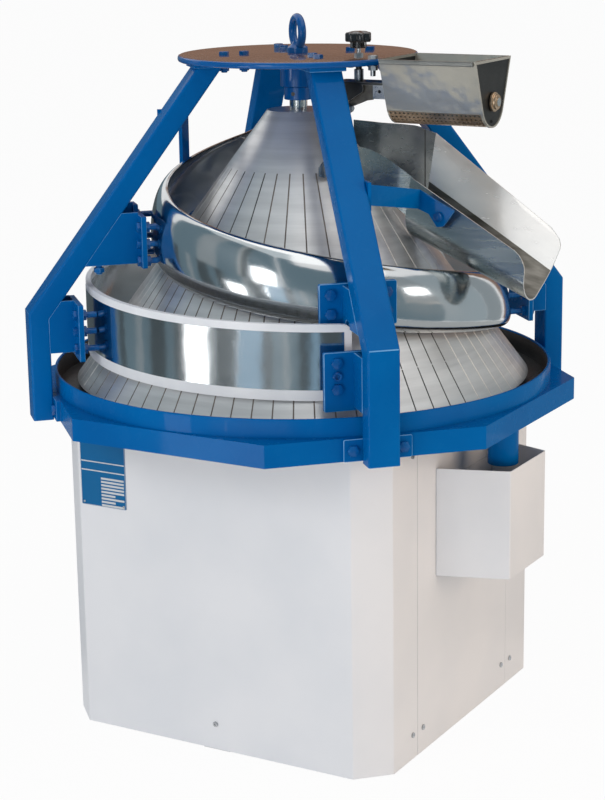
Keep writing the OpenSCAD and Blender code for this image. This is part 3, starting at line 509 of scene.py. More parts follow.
for n, (az, span, low, high, tone) in enumerate(set_up):
    away = SOFTBOX_AWAY if tone == "softbox" else CARD_AWAY
    width = 2 * away * math.tan(math.radians(span / 2))
    card("card_%d_%s" % (n, tone), az, away, width, low, high, boards[tone])
    if high == CEILING:
        card("card_%d_over" % n, az, away, width, CEILING, CEILING + 0.4, boards[tone], 1.5)
rim_steps = 64
around = [(k, (k + 1) % rim_steps, rim_steps + (k + 1) % rim_steps, rim_steps + k) for k in range(rim_steps)]
for name, inner, outer, tone in (("near", 0.62, 1.25, "slate"), ("far", 1.25, 2.45, "pale")):
    rims = circle(inner, 0.004, rim_steps) + circle(outer, 0.004, rim_steps)
    for_mirrors_only(stage_sheet("card_floor_" + name, rims, around, boards[tone]))
print("cards:", len(set_up))

# %% [markdown]
# ## Lamps
# Four lamps light the machine: a key lamp from the upper left, a low one in front, a warm one on
# the right and a weak one overhead. A sun or point lamps would be quicker to set, but they cast
# hard shadows, so all four are wide rectangles.

# %% Hang the lamps
def lamp(name, place, target, size, power, colour):
    light = bpy.data.lights.new(name, "AREA")
    light.shape = "RECTANGLE"
    light.size, light.size_y = size
    light.energy = power
    light.color = colour
    obj = bpy.data.objects.new(name, light)
    obj.location = place
    obj.rotation_mode = "QUATERNION"
    obj.rotation_quaternion = (Vector(target) - Vector(place)).to_track_quat("-Z", "Y")
    scene.collection.objects.link(obj)


lamp("key", (-1.6, -4.2, 3.2), (0, 0, 0.8), (2.2, 1.6), 38, (0.96, 0.98, 1.0))
lamp("fill", (4.4, 0.4, 1.2), (0, 0, 0.7), (2.4, 2.4), 62, (1.0, 0.78, 0.58))
lamp("front", (0.6, -4.8, 0.5), (0, 0, 0.62), (3.0, 0.9), 52, (0.98, 0.99, 1.0))
lamp("top", (0.3, -0.2, 4.2), (0, 0, 0.5), (4.0, 4.0), 24, (1.0, 0.99, 0.97))
print("lamps:", [light.name for light in bpy.data.lights])

# %% [markdown]
# ## How a finish is made
# Real paint and metal are never even. Photographs of them could be wrapped round the pieces, but
# noise that is worked out in space needs no picture and fits any shape. Each finish gets a slow
# change of tone, a change of gloss, a fine grain and, on thin sheet, slow dents.

# %% Mix a finish
def srgb(r, g, b):
    def one(v):
        v /= 255
        return v / 12.92 if v <= 0.04045 else ((v + 0.055) / 1.055) ** 2.4
    return (one(r), one(g), one(b), 1)


DENT_DEPTH = 0.02
GRAIN_DEPTH = 0.0004
mixed = []


def finish(name, dark, light, rough, metal=0.0, coat=0.0, scale=5.0, stretch=(1, 1, 1),
           grain=0.0, grain_scale=250.0, grain_stretch=(1, 1, 1), wave=0.0, wave_scale=7.0, shine=0.5,
           coat_ior=1.5):
    mixed.append(name)
    material = bpy.data.materials.new(name)
    material.use_nodes = True
    tree = material.node_tree
    shader = tree.nodes["Principled BSDF"]
    shader.inputs["Metallic"].default_value = metal
    shader.inputs["Specular IOR Level"].default_value = shine
    shader.inputs["Coat Weight"].default_value = coat
    shader.inputs["Coat Roughness"].default_value = 0.05
    shader.inputs["Coat IOR"].default_value = coat_ior
    where = tree.nodes.new("ShaderNodeTexCoord")

    def noise(size, spread):
        room = tree.nodes.new("ShaderNodeMapping")
        room.inputs["Scale"].default_value = spread
        tree.links.new(where.outputs["Object"], room.inputs["Vector"])
        cloud = tree.nodes.new("ShaderNodeTexNoise")
        cloud.inputs["Scale"].default_value = size
        cloud.inputs["Detail"].default_value = 3.0
        tree.links.new(room.outputs["Vector"], cloud.inputs["Vector"])
        return cloud

    slow = noise(scale, stretch)
    ramp = tree.nodes.new("ShaderNodeValToRGB")
    ramp.color_ramp.elements[0].position = 0.35
    ramp.color_ramp.elements[0].color = dark
    ramp.color_ramp.elements[1].position = 0.65
    ramp.color_ramp.elements[1].color = light
    tree.links.new(slow.outputs["Fac"], ramp.inputs["Fac"])
    tree.links.new(ramp.outputs["Color"], shader.inputs["Base Color"])
    gloss = tree.nodes.new("ShaderNodeMapRange")
    gloss.inputs["From Min"].default_value = 0.3
    gloss.inputs["From Max"].default_value = 0.7
    gloss.inputs["To Min"].default_value = rough[0]
    gloss.inputs["To Max"].default_value = rough[1]
    fine = noise(grain_scale, grain_stretch)
    tree.links.new(fine.outputs["Fac"], gloss.inputs["Value"])
    tree.links.new(gloss.outputs["Result"], shader.inputs["Roughness"])
    last = None
    bumps = [(wave, noise(wave_scale, (1, 1, 1)), DENT_DEPTH)] if wave else []
    for amount, source, depth in bumps + [(grain, fine, GRAIN_DEPTH)]:
        bump = tree.nodes.new("ShaderNodeBump")
        bump.inputs["Strength"].default_value = amount
        bump.inputs["Distance"].default_value = depth
        tree.links.new(source.outputs["Fac"], bump.inputs["Height"])
        if last:
            tree.links.new(last.outputs["Normal"], bump.inputs["Normal"])
        last = bump
    tree.links.new(last.outputs["Normal"], shader.inputs["Normal"])
    return material


print("pure white is", srgb(255, 255, 255)[:3])

# %% [markdown]
# ## Paints
# The frame is sprayed blue, the cabinet is white, and the top face of the plate is painted a glossy
# brown, a painted reflection of brown surroundings. One paint could serve for all the blue, but bolts
# are brushed darker, the edges of the posts are painted paler as painted highlight, and the turned
# pieces at the top have a thicker, glossier coat.

# %% Mix the paints
blue = finish("blue_paint", srgb(0, 92, 161), srgb(0, 100, 170), (0.22, 0.3), shine=0.03, coat=0.14,
              grain=0.003, grain_scale=40)
blue_gloss = finish("blue_gloss", srgb(0, 80, 148), srgb(0, 88, 158), (0.16, 0.24), shine=0.2, coat=0.4,
                    grain=0.003, grain_scale=40)
bolt_blue = finish("blue_bolts", srgb(0, 74, 140), srgb(8, 96, 165), (0.2, 0.3), shine=0.2, coat=0.5,
                   scale=40, grain=0.03, grain_scale=150)
label_blue = finish("label_blue", srgb(0, 92, 146), srgb(6, 100, 154), (0.3, 0.4), shine=0.2,
                    grain=0.01, grain_scale=90)
# the paler blue goes on the bevels of the posts, as painted highlight along their edges
blue_painted_highlight = finish("blue_painted_highlights", srgb(70, 138, 198), srgb(110, 168, 216), (0.2, 0.3), shine=0.3, coat=0.3,
                   scale=30, grain=0.02, grain_scale=120)
# the brown of the plate's top face is a painted reflection of brown surroundings
plate_painted_reflection = finish("plate_top", srgb(116, 89, 75), srgb(126, 97, 83), (0.2, 0.3), coat=1.0, coat_ior=2.2,
                     grain=0.003, grain_scale=90)
white_paint = finish("white_paint", srgb(224, 226, 230), srgb(230, 231, 234), (0.42, 0.55),
                     grain=0.06, grain_scale=500)
tray_dark = finish("tray_dark", srgb(30, 31, 33), srgb(44, 45, 47), (0.3, 0.45), scale=9,
                   grain=0.1, grain_scale=300)
edging_grey = finish("edging", srgb(224, 227, 232), srgb(233, 236, 240), (0.45, 0.6), scale=14, shine=0.25,
                     grain=0.1, grain_scale=400)
black_paint = finish("black_paint", srgb(26, 26, 27), srgb(44, 44, 44), (0.3, 0.45), coat=0.2, scale=30,
                     grain=0.12, grain_scale=350)
grey_paint = finish("grey_paint", srgb(66, 77, 86), srgb(78, 89, 98), (0.35, 0.5), scale=10,
                    grain=0.1, grain_scale=300)
print("paints:", mixed)

# %% [markdown]
# ## Metals
# The tracks are polished, the chute and the hopper are thin sheet with dents, and the cone is turned
# aluminium with lines that run round it. One steel could serve for all, but polish, wear and shade
# differ so much that each has its own, with the grain stretched the way that the metal was worked.

# %% Mix the metals
steel = finish("polished_steel", (0.60, 0.62, 0.63, 1), (0.68, 0.70, 0.71, 1), (0.09, 0.17), metal=1.0,
               scale=3, grain=0.03, grain_scale=600, wave=0.12, wave_scale=6)
hopper_steel = finish("hopper_steel", srgb(182, 178, 168), srgb(202, 198, 187), (0.13, 0.2), metal=0.62,
                      scale=5, grain=0.006, grain_scale=60, wave=0.45, wave_scale=8)
lip_steel = finish("lip_steel", (0.17, 0.17, 0.16, 1), (0.24, 0.24, 0.23, 1), (0.3, 0.4), metal=1.0,
                   scale=9, grain=0.004, grain_scale=40)
chute_steel = finish("chute_steel", (0.74, 0.75, 0.75, 1), (0.88, 0.88, 0.87, 1), (0.2, 0.28), metal=0.55,
                     scale=5, stretch=(0.6, 2, 2), grain=0.002, grain_scale=14, grain_stretch=(0.5, 6, 6),
                     wave=0.02, wave_scale=5)
# the outside of the chute: a darker, greener steel as painted reflection
chute_painted_reflection = finish("chute_painted_reflection", (0.30, 0.335, 0.335, 1), (0.44, 0.47, 0.465, 1), (0.2, 0.3),
                       metal=0.95, scale=6, stretch=(0.5, 3, 3), grain=0.006, grain_scale=14,
                       grain_stretch=(0.5, 6, 6), wave=0.03, wave_scale=5)
# the bottom of the chute's inside: painted shade
chute_shade = finish("chute_shade", (0.075, 0.07, 0.06, 1), (0.2, 0.19, 0.17, 1), (0.3, 0.42), metal=0.9,
                     scale=14, stretch=(0.5, 3, 3), grain=0.03, grain_scale=14, grain_stretch=(0.5, 6, 6))
turned_aluminium = finish("turned_aluminium", (0.63, 0.63, 0.63, 1), (0.77, 0.77, 0.77, 1), (0.3, 0.42),
                          metal=0.72, scale=4, stretch=(1, 1, 14), grain=0.5, grain_scale=60,
                          grain_stretch=(0.15, 0.15, 12))
groove_soft = finish("groove_soft", srgb(112, 104, 98), srgb(138, 128, 120), (0.5, 0.7), metal=0.3,
                     scale=30, grain=0.02, grain_scale=100)
# dark for painted shade in the grooves and behind the holes of the strip, and for the weld seam
shade_and_seam_dark = finish("shade_and_seam_dark", (0.08, 0.08, 0.08, 1), (0.15, 0.148, 0.14, 1), (0.5, 0.7), metal=0.5,
                     scale=30, grain=0.1, grain_scale=200)
zinc = finish("zinc", (0.42, 0.43, 0.45, 1), (0.56, 0.57, 0.58, 1), (0.25, 0.4), metal=1.0, scale=60,
              grain=0.1, grain_scale=500)
bright_steel = finish("bright_steel", (0.62, 0.62, 0.6, 1), (0.75, 0.75, 0.73, 1), (0.12, 0.22), metal=1.0,
                      scale=20, stretch=(1, 1, 20), grain=0.08, grain_scale=300)
worn_edge = finish("worn_edge", (0.30, 0.29, 0.27, 1), (0.48, 0.46, 0.43, 1), (0.3, 0.45), metal=0.8,
                   scale=60, grain=0.1, grain_scale=300)
old_steel = finish("old_steel", (0.11, 0.10, 0.085, 1), (0.2, 0.185, 0.16, 1), (0.35, 0.5), metal=0.7,
                   scale=40, grain=0.1, grain_scale=300)
end_plate_dark = finish("end_plate", (0.02, 0.021, 0.021, 1), (0.036, 0.037, 0.036, 1), (0.3, 0.42),
                        metal=0.6, shine=0.3, scale=16, grain=0.02, grain_scale=300)
brass = finish("brass", (0.52, 0.35, 0.22, 1), (0.76, 0.56, 0.39, 1), (0.26, 0.38), metal=1.0, scale=30,
               grain=0.08, grain_scale=400)
cast_iron = finish("cast_iron", srgb(78, 80, 82), srgb(98, 100, 102), (0.5, 0.7), scale=40,
                   grain=0.4, grain_scale=250)
print("finishes so far:", len(mixed))

# %% [markdown]
# ## Flour, rubber and plastics
# The pale grooves of the cone get a flour colour as painted highlight, the belt is rubber, and knob,
# buttons and switch box are moulded plastic. Flat colours could do here. The same mixer is used,
# because a little grain keeps them from looking like toys.

# %% Mix the rest
# flour colour for the pale grooves, as painted highlight
flour = finish("painted_highlight_flour", srgb(232, 230, 226), srgb(246, 244, 241), (0.7, 0.9), scale=40,
               grain=0.1, grain_scale=200)
rubber = finish("belt_rubber", srgb(24, 24, 24), srgb(38, 38, 38), (0.7, 0.85), scale=50,
                grain=0.4, grain_scale=200)
knob_black = finish("knob_plastic", srgb(14, 14, 15), srgb(26, 26, 28), (0.12, 0.24), coat=0.8, scale=60,
                    grain=0.03, grain_scale=200)
box_grey = finish("box_plastic", srgb(196, 198, 200), srgb(208, 210, 212), (0.5, 0.65), scale=20,
                  grain=0.25, grain_scale=300)
green = finish("green_plastic", srgb(22, 110, 48), srgb(34, 130, 60), (0.2, 0.35), coat=0.2, scale=60,
               grain=0.05, grain_scale=400)
red = finish("red_plastic", srgb(160, 22, 22), srgb(182, 34, 30), (0.2, 0.35), coat=0.2, scale=60,
             grain=0.05, grain_scale=400)
print("finishes in all:", len(mixed))

# %% [markdown]
# ## Cabinet
# The front and rear panels are one sheet each, folded at the corners in a press brake, so the
# folds have a soft radius. A box with beveled corners would be close, but the sheet is drawn as a
# folded line with a thickness, because then the seams to the flat side panels stay open and true.

# %% Fold the cabinet panels
HALF = 363
CHAMFER = 58
SEAM = 205
CAB_TOP = 636


def folded(plan, low, high, sheet=2.0, radius=7.0):
    line = rounded(plan, radius, 6, closed=False)
    rows = []
    for k, p in enumerate(line):
        a = line[max(k - 1, 0)]
        b = line[min(k + 1, len(line) - 1)]
        d = (b - a).normalized()
        inner = p + Vector((-d.y, d.x)) * sheet
        rows.append([(p.x, p.y, low), (p.x, p.y, high), (inner.x, inner.y, high), (inner.x, inner.y, low)])
    shape = Shape()
    shape.skin(rows)
    return shape


end_plan = [(-HALF, -SEAM - 0.5), (-HALF, CHAMFER - HALF), (CHAMFER - HALF, -HALF), (HALF - CHAMFER, -HALF),
            (HALF, CHAMFER - HALF), (HALF, -SEAM - 0.5)]
front = piece("front_sheet", folded(end_plan, 2, CAB_TOP), [white_paint], ["front_panel"], 0.6)
rear_plan = [(-x, -y) for x, y in end_plan]
piece("rear_sheet", folded(rear_plan, 2, CAB_TOP), [white_paint], ["rear_panel"], 0.6)
for node in ("left_panel", "right_panel"):
    dress(node, [white_paint], 0.6)
print("front sheet has", len(front.data.polygons), "faces")

# %% [markdown]
# ## Screws and rating plate
# Low button screws hold the panels. The blue plate on the front is riveted and left blank, with
# pale fields and rules. These could be painted on with a texture, but thin raised strips need no
# picture and stay crisp at any distance.

# %% Set the screws and the plate
screws = Shape()
spots = [(0, 0, 54), (180, 0, 54)]
for face in (90, -90):
    for z in (52, CAB_TOP - 24):
        for sideways in (-SEAM - 22, -SEAM + 22, SEAM - 22, SEAM + 22):
            spots.append((face, sideways, z))
for face, sideways, z in spots:
    turn = Matrix.Rotation(math.radians(face), 4, "Z")
    screws.socket_head(5.5, 3.0, turn @ shift(sideways, -HALF, z) @ TURN_Y, hole=0.36, sides=24)
piece("panel_screw_heads", screws, [zinc], ["panel_screws"], sharp=40)

plate = Shape()
x0, x1, z0, z1 = -299, -193, 465, 600
FACE = 1.2
RULE = 1.4
on_front = shift(0, -HALF, 0) @ TURN_Y
plate.plate(rounded([(x0, z0), (x1, z0), (x1, z1), (x0, z1)], 3), 0, FACE, 0, on_front)
for x in (x0 + 6, x1 - 6):
    for z in (z0 + 6, z1 - 6):
        plate.turned([(0.5, 1.2), (2.5, 1.2), (2.2, 1.7), (1.2, 2.1), (0.4, 2.2)], 20, 1,
                     shift(x, -HALF, z) @ TURN_Y)
for a, b in (((x0, z0), (x1, z0 + RULE)), ((x0, z1 - RULE), (x1, z1)), ((x0, z0), (x0 + RULE, z1)),
             ((x1 - RULE, z0), (x1, z1))):
    plate.box((a[0] + 0.4, a[1] + 0.4, FACE), (b[0] - 0.4, b[1] - 0.4, FACE + 0.1), 2, on_front)
for z in (537, 555):
    plate.box((x0 + 2, z - 1.2, FACE), (x1 - 2, z + 1.2, FACE + 0.15), 2, on_front)
for row in range(9):
    long = 54 if row not in (5, 7) else 33
    z = 523 - 6.8 * row
    plate.box((x0 + 48, z - 2, FACE), (x0 + 48 + long, z + 2, FACE + 0.15), 2, on_front)
piece("blank_rating_plate", plate, [label_blue, zinc, box_grey], ["rating_plate"])
print("screws:", len(spots))

# %% [markdown]
# ## Tray
# A rolled ring stands on the tray floor and keeps dough and flour in. Its outside is blue and its
# inside is dark, like the floor. A circle could be extruded, but a turned profile also gives the
# rounded rim. The eight-sided skirt below ties the posts together, and a spout drains the tray.

# %% Roll the tray ring and turn the spout
FLOOR = 678
RING_TOP = 718
SPOUT_X = 446
ring = Shape()
ring.turned([(494, FLOOR), (494, RING_TOP - 2.8), (494.6, RING_TOP - 0.8), (496, RING_TOP), (498, RING_TOP),
             (499.4, RING_TOP - 0.8), (500, RING_TOP - 2.8), (500, FLOOR)], 192, closed=True,
            tones=[1, 0, 0, 0, 0, 0, 0, 0])
piece("tray_ring_rolled", ring, [blue, tray_dark], ["tray_ring"])
dress("tray_floor", [tray_dark], 0.6)
dress("octagon_skirt", [blue], 1.2)
spout = Shape()
spout.turned([(27, 674), (27, 552.8), (28, 552), (29.2, 552), (30, 552.8), (30, 660), (31.5, 665.5),
              (36, 668), (42.8, 668), (44, 669.2), (44, 674)], 64, closed=True, place=shift(SPOUT_X, 0, 0))
piece("drain_spout_tube", spout, [blue], ["drain_spout"])
print("ring faces:", len(ring.faces))

# %% [markdown]
# ## Catch bin
# The bin under the spout is folded from one sheet, narrower at the front, with a floor a little
# above its lower edge. It hooks over two pins on the cabinet. A hollowed block would look alike
# from outside, but folded sheet shows its thin rim and its open top.

# %% Fold the catch bin
bin_shape = folded([(364, -127), (500, -83), (500, 83), (364, 127)], 346, 562, 2.0, 5.0)
floor_plan = [(365, -125), (498.5, -81.5), (498.5, 81.5), (365, 125)]
bin_shape.plate(floor_plan, 362, 364)
bin_shape.box((364, -126, 362), (366, 126, 528))
piece("catch_bin_sheet", bin_shape, [white_paint], ["catch_bin"], 0.7)
dress("bin_pins", [zinc], 0.8)
print("bin faces:", len(bin_shape.faces))

# %% [markdown]
# ## Plan of the posts
# Each of the four posts is a rectangular tube, cut and welded at the bend. Box arms with flanges
# hold the screws that set the tracks. The places of the arms could be typed into every mesh. They
# are kept in one table instead, because the screws need the same numbers later.

# %% Measure the posts and their arms
KINK_R = 554
KINK_Z = 850
POST_TOP = 1308
HEAD_R = 208
LEAN = (KINK_R - HEAD_R) / (POST_TOP - KINK_Z)
MITRE = math.tan(math.atan(LEAN) / 2)
TRACK_R = 427
Arm = namedtuple("Arm", "low high face left right flange_low flange_high across heights")


def cone_r(z):
    return 455 - 393 / 524.9 * (z - 693.6)


def post_zk(d):
    return KINK_Z - d * MITRE


def post_r(d, z):
    return KINK_R - d - LEAN * max(z - post_zk(d), 0)


lower_face = TRACK_R + 39
upper_faces = [cone_r(FLOOR + 225) + 100, cone_r(FLOOR + 303.5) + 94.5, cone_r(FLOOR + 401) + 113.5]
arms = {
    45: [Arm(50, 152, lower_face, -86, 30, 44, 154, [-62], [134, 110, 86]),
         Arm(188, 262, upper_faces[0], -74, 74, 184, 266, [-54, 54], [246, 210])],
    -45: [Arm(91, 193, lower_face, -30, 86, 82, 193, [62], [170, 138, 104]),
          Arm(258, 358, upper_faces[1], -66, 66, 253, 354, [-50, 50], [332, 299, 266])],
    -135: [Arm(110, 208, lower_face, -30, 86, 104, 210, [62], [188, 157, 124]),
           Arm(354, 448, upper_faces[2], -62, 62, 350, 452, [-46, 46], [430, 400, 370])],
    135: [Arm(106, 202, lower_face, -86, 30, 98, 204, [-62], [184, 150, 116])],
}
notched = arms[45][1]
lifted = arms[-45][1]
print("posts:", len(arms), "lean", round(math.degrees(math.atan(LEAN)), 1), "degrees")

# %% [markdown]
# ## Posts
# The tube runs up from a foot plate on the skirt, bends inwards and ends in a head plate. It could
# be swept along a curve, but three rings of the section give the sharp mitre of a welded bend. One
# arm has a round notch and another has a far cheek that stands higher, as on the real machine.

# %% Weld the posts
TUBE_BACK = 38
NOTCH_R = 15
LIFT = 12
ON_EDGE = Matrix(((0, 0, 1, 0), (0, 1, 0, 0), (1, 0, 0, 0), (0, 0, 0, 1)))


def cheek_outline(arm, low, high):
    """A side plate of an arm, from the back of the post to the flange."""
    kink = post_zk(TUBE_BACK)
    cheek = [Vector((post_r(TUBE_BACK, low), low))]
    if arm is notched:
        for k in range(9):
            a = math.pi * k / 8
            cheek.append(Vector((TRACK_R + NOTCH_R * math.cos(a), low + NOTCH_R * math.sin(a))))
    cheek += [Vector((arm.face - 1, low)), Vector((arm.face - 1, high))]
    cheek.append(Vector((post_r(TUBE_BACK, high), high)))
    if low < kink < high:
        cheek.append(Vector((post_r(TUBE_BACK, kink), kink)))
    return cheek


def weld_arm(shape, arm, place):
    low, high = FLOOR + arm.low, FLOOR + arm.high
    lift = LIFT if arm is lifted else 0
    cheek = cheek_outline(arm, low, high)
    tall = []
    for p in cheek:
        up = lift if p.y == high else 0
        tall.append(Vector((p.x - LEAN * up if p.x > arm.face else p.x, p.y + up)))
    shape.plate(tall, 22, 30, place=place @ TURN_Y)
    shape.plate(cheek, -30, -22, place=place @ TURN_Y)
    foot, top = FLOOR + arm.flange_low, FLOOR + arm.flange_high
    corners = [(arm.left, foot), (arm.right, foot), (arm.right, top)]
    if lift:
        corners += [(-16, top), (-18, top + lift)]
    flange = rounded(corners + [(arm.left, top + lift)], 4)
    shape.skin([[(r, p.x, p.y) for p in flange] for r in (arm.face - 10, arm.face)], place=place)


def post_shape(phi):
    shape = Shape()
    place = radial(phi)
    section = rounded([(0, -30), (40, -30), (40, 30), (0, 30)], 5.0, 5)
    rows = [[(KINK_R - p.x, p.y, 636) for p in section]]
    rows.append([(KINK_R - p.x, p.y, post_zk(p.x)) for p in section])
    rows.append([(post_r(p.x, POST_TOP), p.y, POST_TOP) for p in section])
    shape.skin(rows, place=place)
    foot = rounded([(-65, 640), (65, 640), (65, 682), (-65, 682)], 4)
    shape.plate([(p.y, p.x) for p in foot], 506, 514.5, place=place @ ON_EDGE)
    shape.box((88, -36, POST_TOP), (216, 36, 1316), 0, place, 3)
    for arm in arms[phi]:
        weld_arm(shape, arm, place)
    return shape


hung_nut = Shape()
hung_nut.rod(6, 918, 940, radial(-45) @ shift(412, 20, 0), sides=24)
hung_nut.hex_head(19, 9, radial(-45) @ shift(412, 20, 922))
post_names = {45: "post_front_right", -45: "post_front_left", -135: "post_back_left", 135: "post_back_right"}
for phi, node in post_names.items():
    welded = post_shape(phi)
    if phi == -45:
        welded.add(hung_nut.points, hung_nut.faces)
    post = piece(node + "_welded", welded, [blue, blue_painted_highlight], [node], 1.2)
    # the bevels take the paler blue, as painted highlight
    post.modifiers["edge"].material = 1
print("welded:", list(post_names.values()))

# %% [markdown]
# ## Bolts of the feet and the top plate
# Hexagon bolts hold the feet to the skirt and the top plate to the posts. Six-sided cylinders would
# do from afar. Here the corners of each head are turned off at 30 degrees, as on real bolts,
# because the bright arcs on a bolt head come from there.

# %% Turn the bolts of the posts
FOOT_FACE = 514.5
PLATE_LOW = 1316
PLATE_TOP = 1328
foot_bolts = Shape()
top_bolts = Shape()
for phi in arms:
    for t in (-48, 48):
        place = radial(phi) @ shift(0, t, 661) @ TURN_X
        foot_bolts.hex_head(19, 7.5, place @ shift(0, 0, FOOT_FACE))
        foot_bolts.rod(6, 494, 516, place)
        foot_bolts.hex_head(19, 10, place @ shift(0, 0, 493))
    for r in (108, 148):
        place = radial(phi) @ shift(r, 0, 0) @ Matrix.Rotation(math.radians(30), 4, "Z")
        top_bolts.hex_head(17, 7.5, place @ shift(0, 0, PLATE_TOP))
        top_bolts.rod(6, 1295, 1333, place)
        top_bolts.hex_head(17, 10, place @ shift(0, 0, 1298))
piece("post_foot_bolts_turned", foot_bolts, [bolt_blue], ["post_foot_bolts"])
piece("plate_bolts_turned", top_bolts, [bolt_blue], ["plate_bolts"])
print("bolt faces:", len(foot_bolts.faces) + len(top_bolts.faces))

# %% [markdown]
# ## Course of the tracks
# Both tracks climb round the cone from right to left. The lower one is a wall, and the upper one a
# bulged band. Their course could be drawn as a curve by hand. Short formulas give height and radius
# at each plan angle instead, because the set screws have to end at the same surface.

# %% Describe the tracks
LOW_EDGE = 20
LOW_WALL = 108
LOW_BULGE = 32


def lower_z(phi):
    return 741 - 12.4 * math.radians(phi)


def lower_ro(u):
    return TRACK_R + LOW_BULGE * u * (1 - u)


def upper_zb(phi):
    a = min(math.radians(phi), 2.02)
    return min(888.6 - 51.7 * a + 11 * min(a, 0) ** 2, 1040)


def upper_zt(phi):
    return min(1023.4 - 64 * min(math.radians(phi), 2.02), 1160)


def upper_rb(phi):
    return cone_r(upper_zb(phi)) + 10 + 4 * clamp(math.radians(phi), 0, 2)


def upper_ro(phi, u):
    lean = clamp(18 + 6 * math.radians(phi), 2, 26)
    return upper_rb(phi) - lean * u + 26 * math.sqrt(max(4 * u * (1 - u), 0))


print("lower track climbs", round(lower_z(-200) - lower_z(42)), "mm")

# %% [markdown]
# ## Screws of the tracks
# On the arms, the middle screw of three is a jack screw with a round head, and the outer ones are
# hexagon bolts that lock it. Copies of one screw would all be equally long. Each is made to measure
# instead, so that its tip meets the track.

# %% Turn the screws of the tracks
def track_bolt(shape, phi, face, t, z, tip, jack):
    place = radial(phi) @ shift(0, t, z) @ TURN_X
    shape.rod(6, tip, face + 3, place)
    if jack:
        shape.socket_head(8.5, 7.5, place @ shift(0, 0, face))
    else:
        shape.hex_head(19, 7.5, place @ shift(0, 0, face))
    shape.hex_head(19, 8, place @ shift(0, 0, face - 18))


low_bolts = Shape()
high_bolts = Shape()
for phi, pair in arms.items():
    for level, arm in enumerate(pair):
        for t in arm.across:
            for k, height in enumerate(arm.heights):
                z = FLOOR + height
                if level == 0 and phi != 135:
                    a = phi + math.degrees(math.asin(t / TRACK_R))
                    u = clamp((z - lower_z(a) - LOW_EDGE) / LOW_WALL, 0, 1)
                    tip = math.sqrt(lower_ro(u) ** 2 - t * t) - 1.5
                    track_bolt(low_bolts, phi, arm.face, t, z, tip, k == 1)
                else:
                    a = phi + math.degrees(math.asin(t / (arm.face - 20)))
                    z += 10 if arm is lifted and t < 0 and k == 0 else 0
                    u = clamp((z - upper_zb(a)) / (upper_zt(a) - upper_zb(a)), 0, 1)
                    tip = math.sqrt(upper_ro(a, u) ** 2 - t * t) - 2
                    track_bolt(high_bolts, phi, arm.face, t, z, tip, k == 1 and len(arm.heights) == 3)
piece("lower_track_screws", low_bolts, [bolt_blue], ["lower_track_bolts"])
piece("upper_track_screws", high_bolts, [bolt_blue], ["upper_track_bolts"])
print("track screws:", sum(len(arm.across) * len(arm.heights) for pair in arms.values() for arm in pair))

# %% [markdown]
# ## Top plate, lifting eye and bearing
# The round plate is blue at its edge, and its top face is painted brown under a glossy coat, a
# painted reflection of brown surroundings. A forged eye for the crane stands in the middle, and the
# bearing of the cone's shaft hangs below. A torus and some cylinders could be joined, but turned
# profiles give the fillets and rims that catch the light.

# %% Turn the plate, the eye and the bearing
PLATE_R = 235
EYE_R = 28
EYE_BAR = 8
disc = Shape()
# tone 1 on the top face is the painted brown reflection
disc.turned([(1, PLATE_LOW), (231, PLATE_LOW), (233.6, 1317.2), (234.8, 1319.6), (PLATE_R, 1322),
             (234.8, 1324.4), (233.6, 1326.8), (231, PLATE_TOP), (1, PLATE_TOP)], 192,
            tones=[0, 0, 0, 0, 0, 0, 0, 1])
piece("top_plate_disc", disc, [blue_gloss, plate_painted_reflection], ["top_plate"])

eye_bolt = Shape()
eye_bolt.turned([(1, 1308), (10, 1308), (10, PLATE_TOP), (20, PLATE_TOP), (20.4, 1330), (20, 1338.6),
                 (18.6, 1340), (17, 1341), (13, 1344), (10.5, 1347), (9, 1350)], 48)
rows = []
for k in range(64):
    a = 2 * math.pi * k / 64
    rows.append([((EYE_R + c) * math.cos(a), s, (EYE_R + c) * math.sin(a))
                 for c, s, _ in circle(EYE_BAR, 0, 24)])
eye_bolt.skin(rows, around=True, place=shift(0, 0, 1368) @ Matrix.Rotation(math.radians(-41), 4, "Z"))
piece("lifting_eye_forged", eye_bolt, [blue_gloss], ["lifting_eye"])

housing = Shape()
housing.turned([(17.6, 1264.5), (34, 1264), (35, 1265), (35, 1305), (36.5, 1308), (61, 1308), (62, 1309),
                (62, PLATE_LOW), (17.6, PLATE_LOW)], 64, closed=True)
piece("top_bearing_housing", housing, [blue_gloss], ["top_bearing"])
collar = Shape()
collar.turned([(17.5, 1238), (27, 1238), (28, 1239), (28, 1262), (27, 1263), (17.5, 1263)], 64, closed=True)
# a thin dark disc stands for the set-screw hole, as painted shade
collar.turned([(0.4, 27.6), (4, 27.6), (4, 28.05), (0.4, 28.05)], 24, 1,
              radial(8) @ shift(0, 0, 1250) @ TURN_X)
piece("shaft_collar_turned", collar, [blue_gloss, tray_dark], ["shaft_collar"])
dress("main_shaft", [bright_steel], 1.0)
print("plate", 2 * PLATE_R, "mm across")

# %% [markdown]
# ## Cone
# Both sections are turned from aluminium, and narrow grooves run up the slope to grip the dough.
# The grooves could be dark lines in a texture, but real cuts catch the light from every side.
# All 72 run up behind the upper track, and every second one goes on. Each groove is tinted by its
# angle round the cone at rest, to follow how the light falls: pale ones are painted highlight in the
# colour of caked flour, dark ones are painted shade, and the rest are dull.

# %% Cut the grooves of the cone
def groove_painted_light(angle, upper):
    """1 for a groove painted dark as shade, 2 for a pale one in flour colour as painted highlight, 3 for a
    dull one.
    """
    side = (angle + 180) % 360 - 180
    if -38 < side < 50:
        return 1 if upper and -22 < side < 8 else 3
    return 1 if 0 < side < 74 and not upper else 2


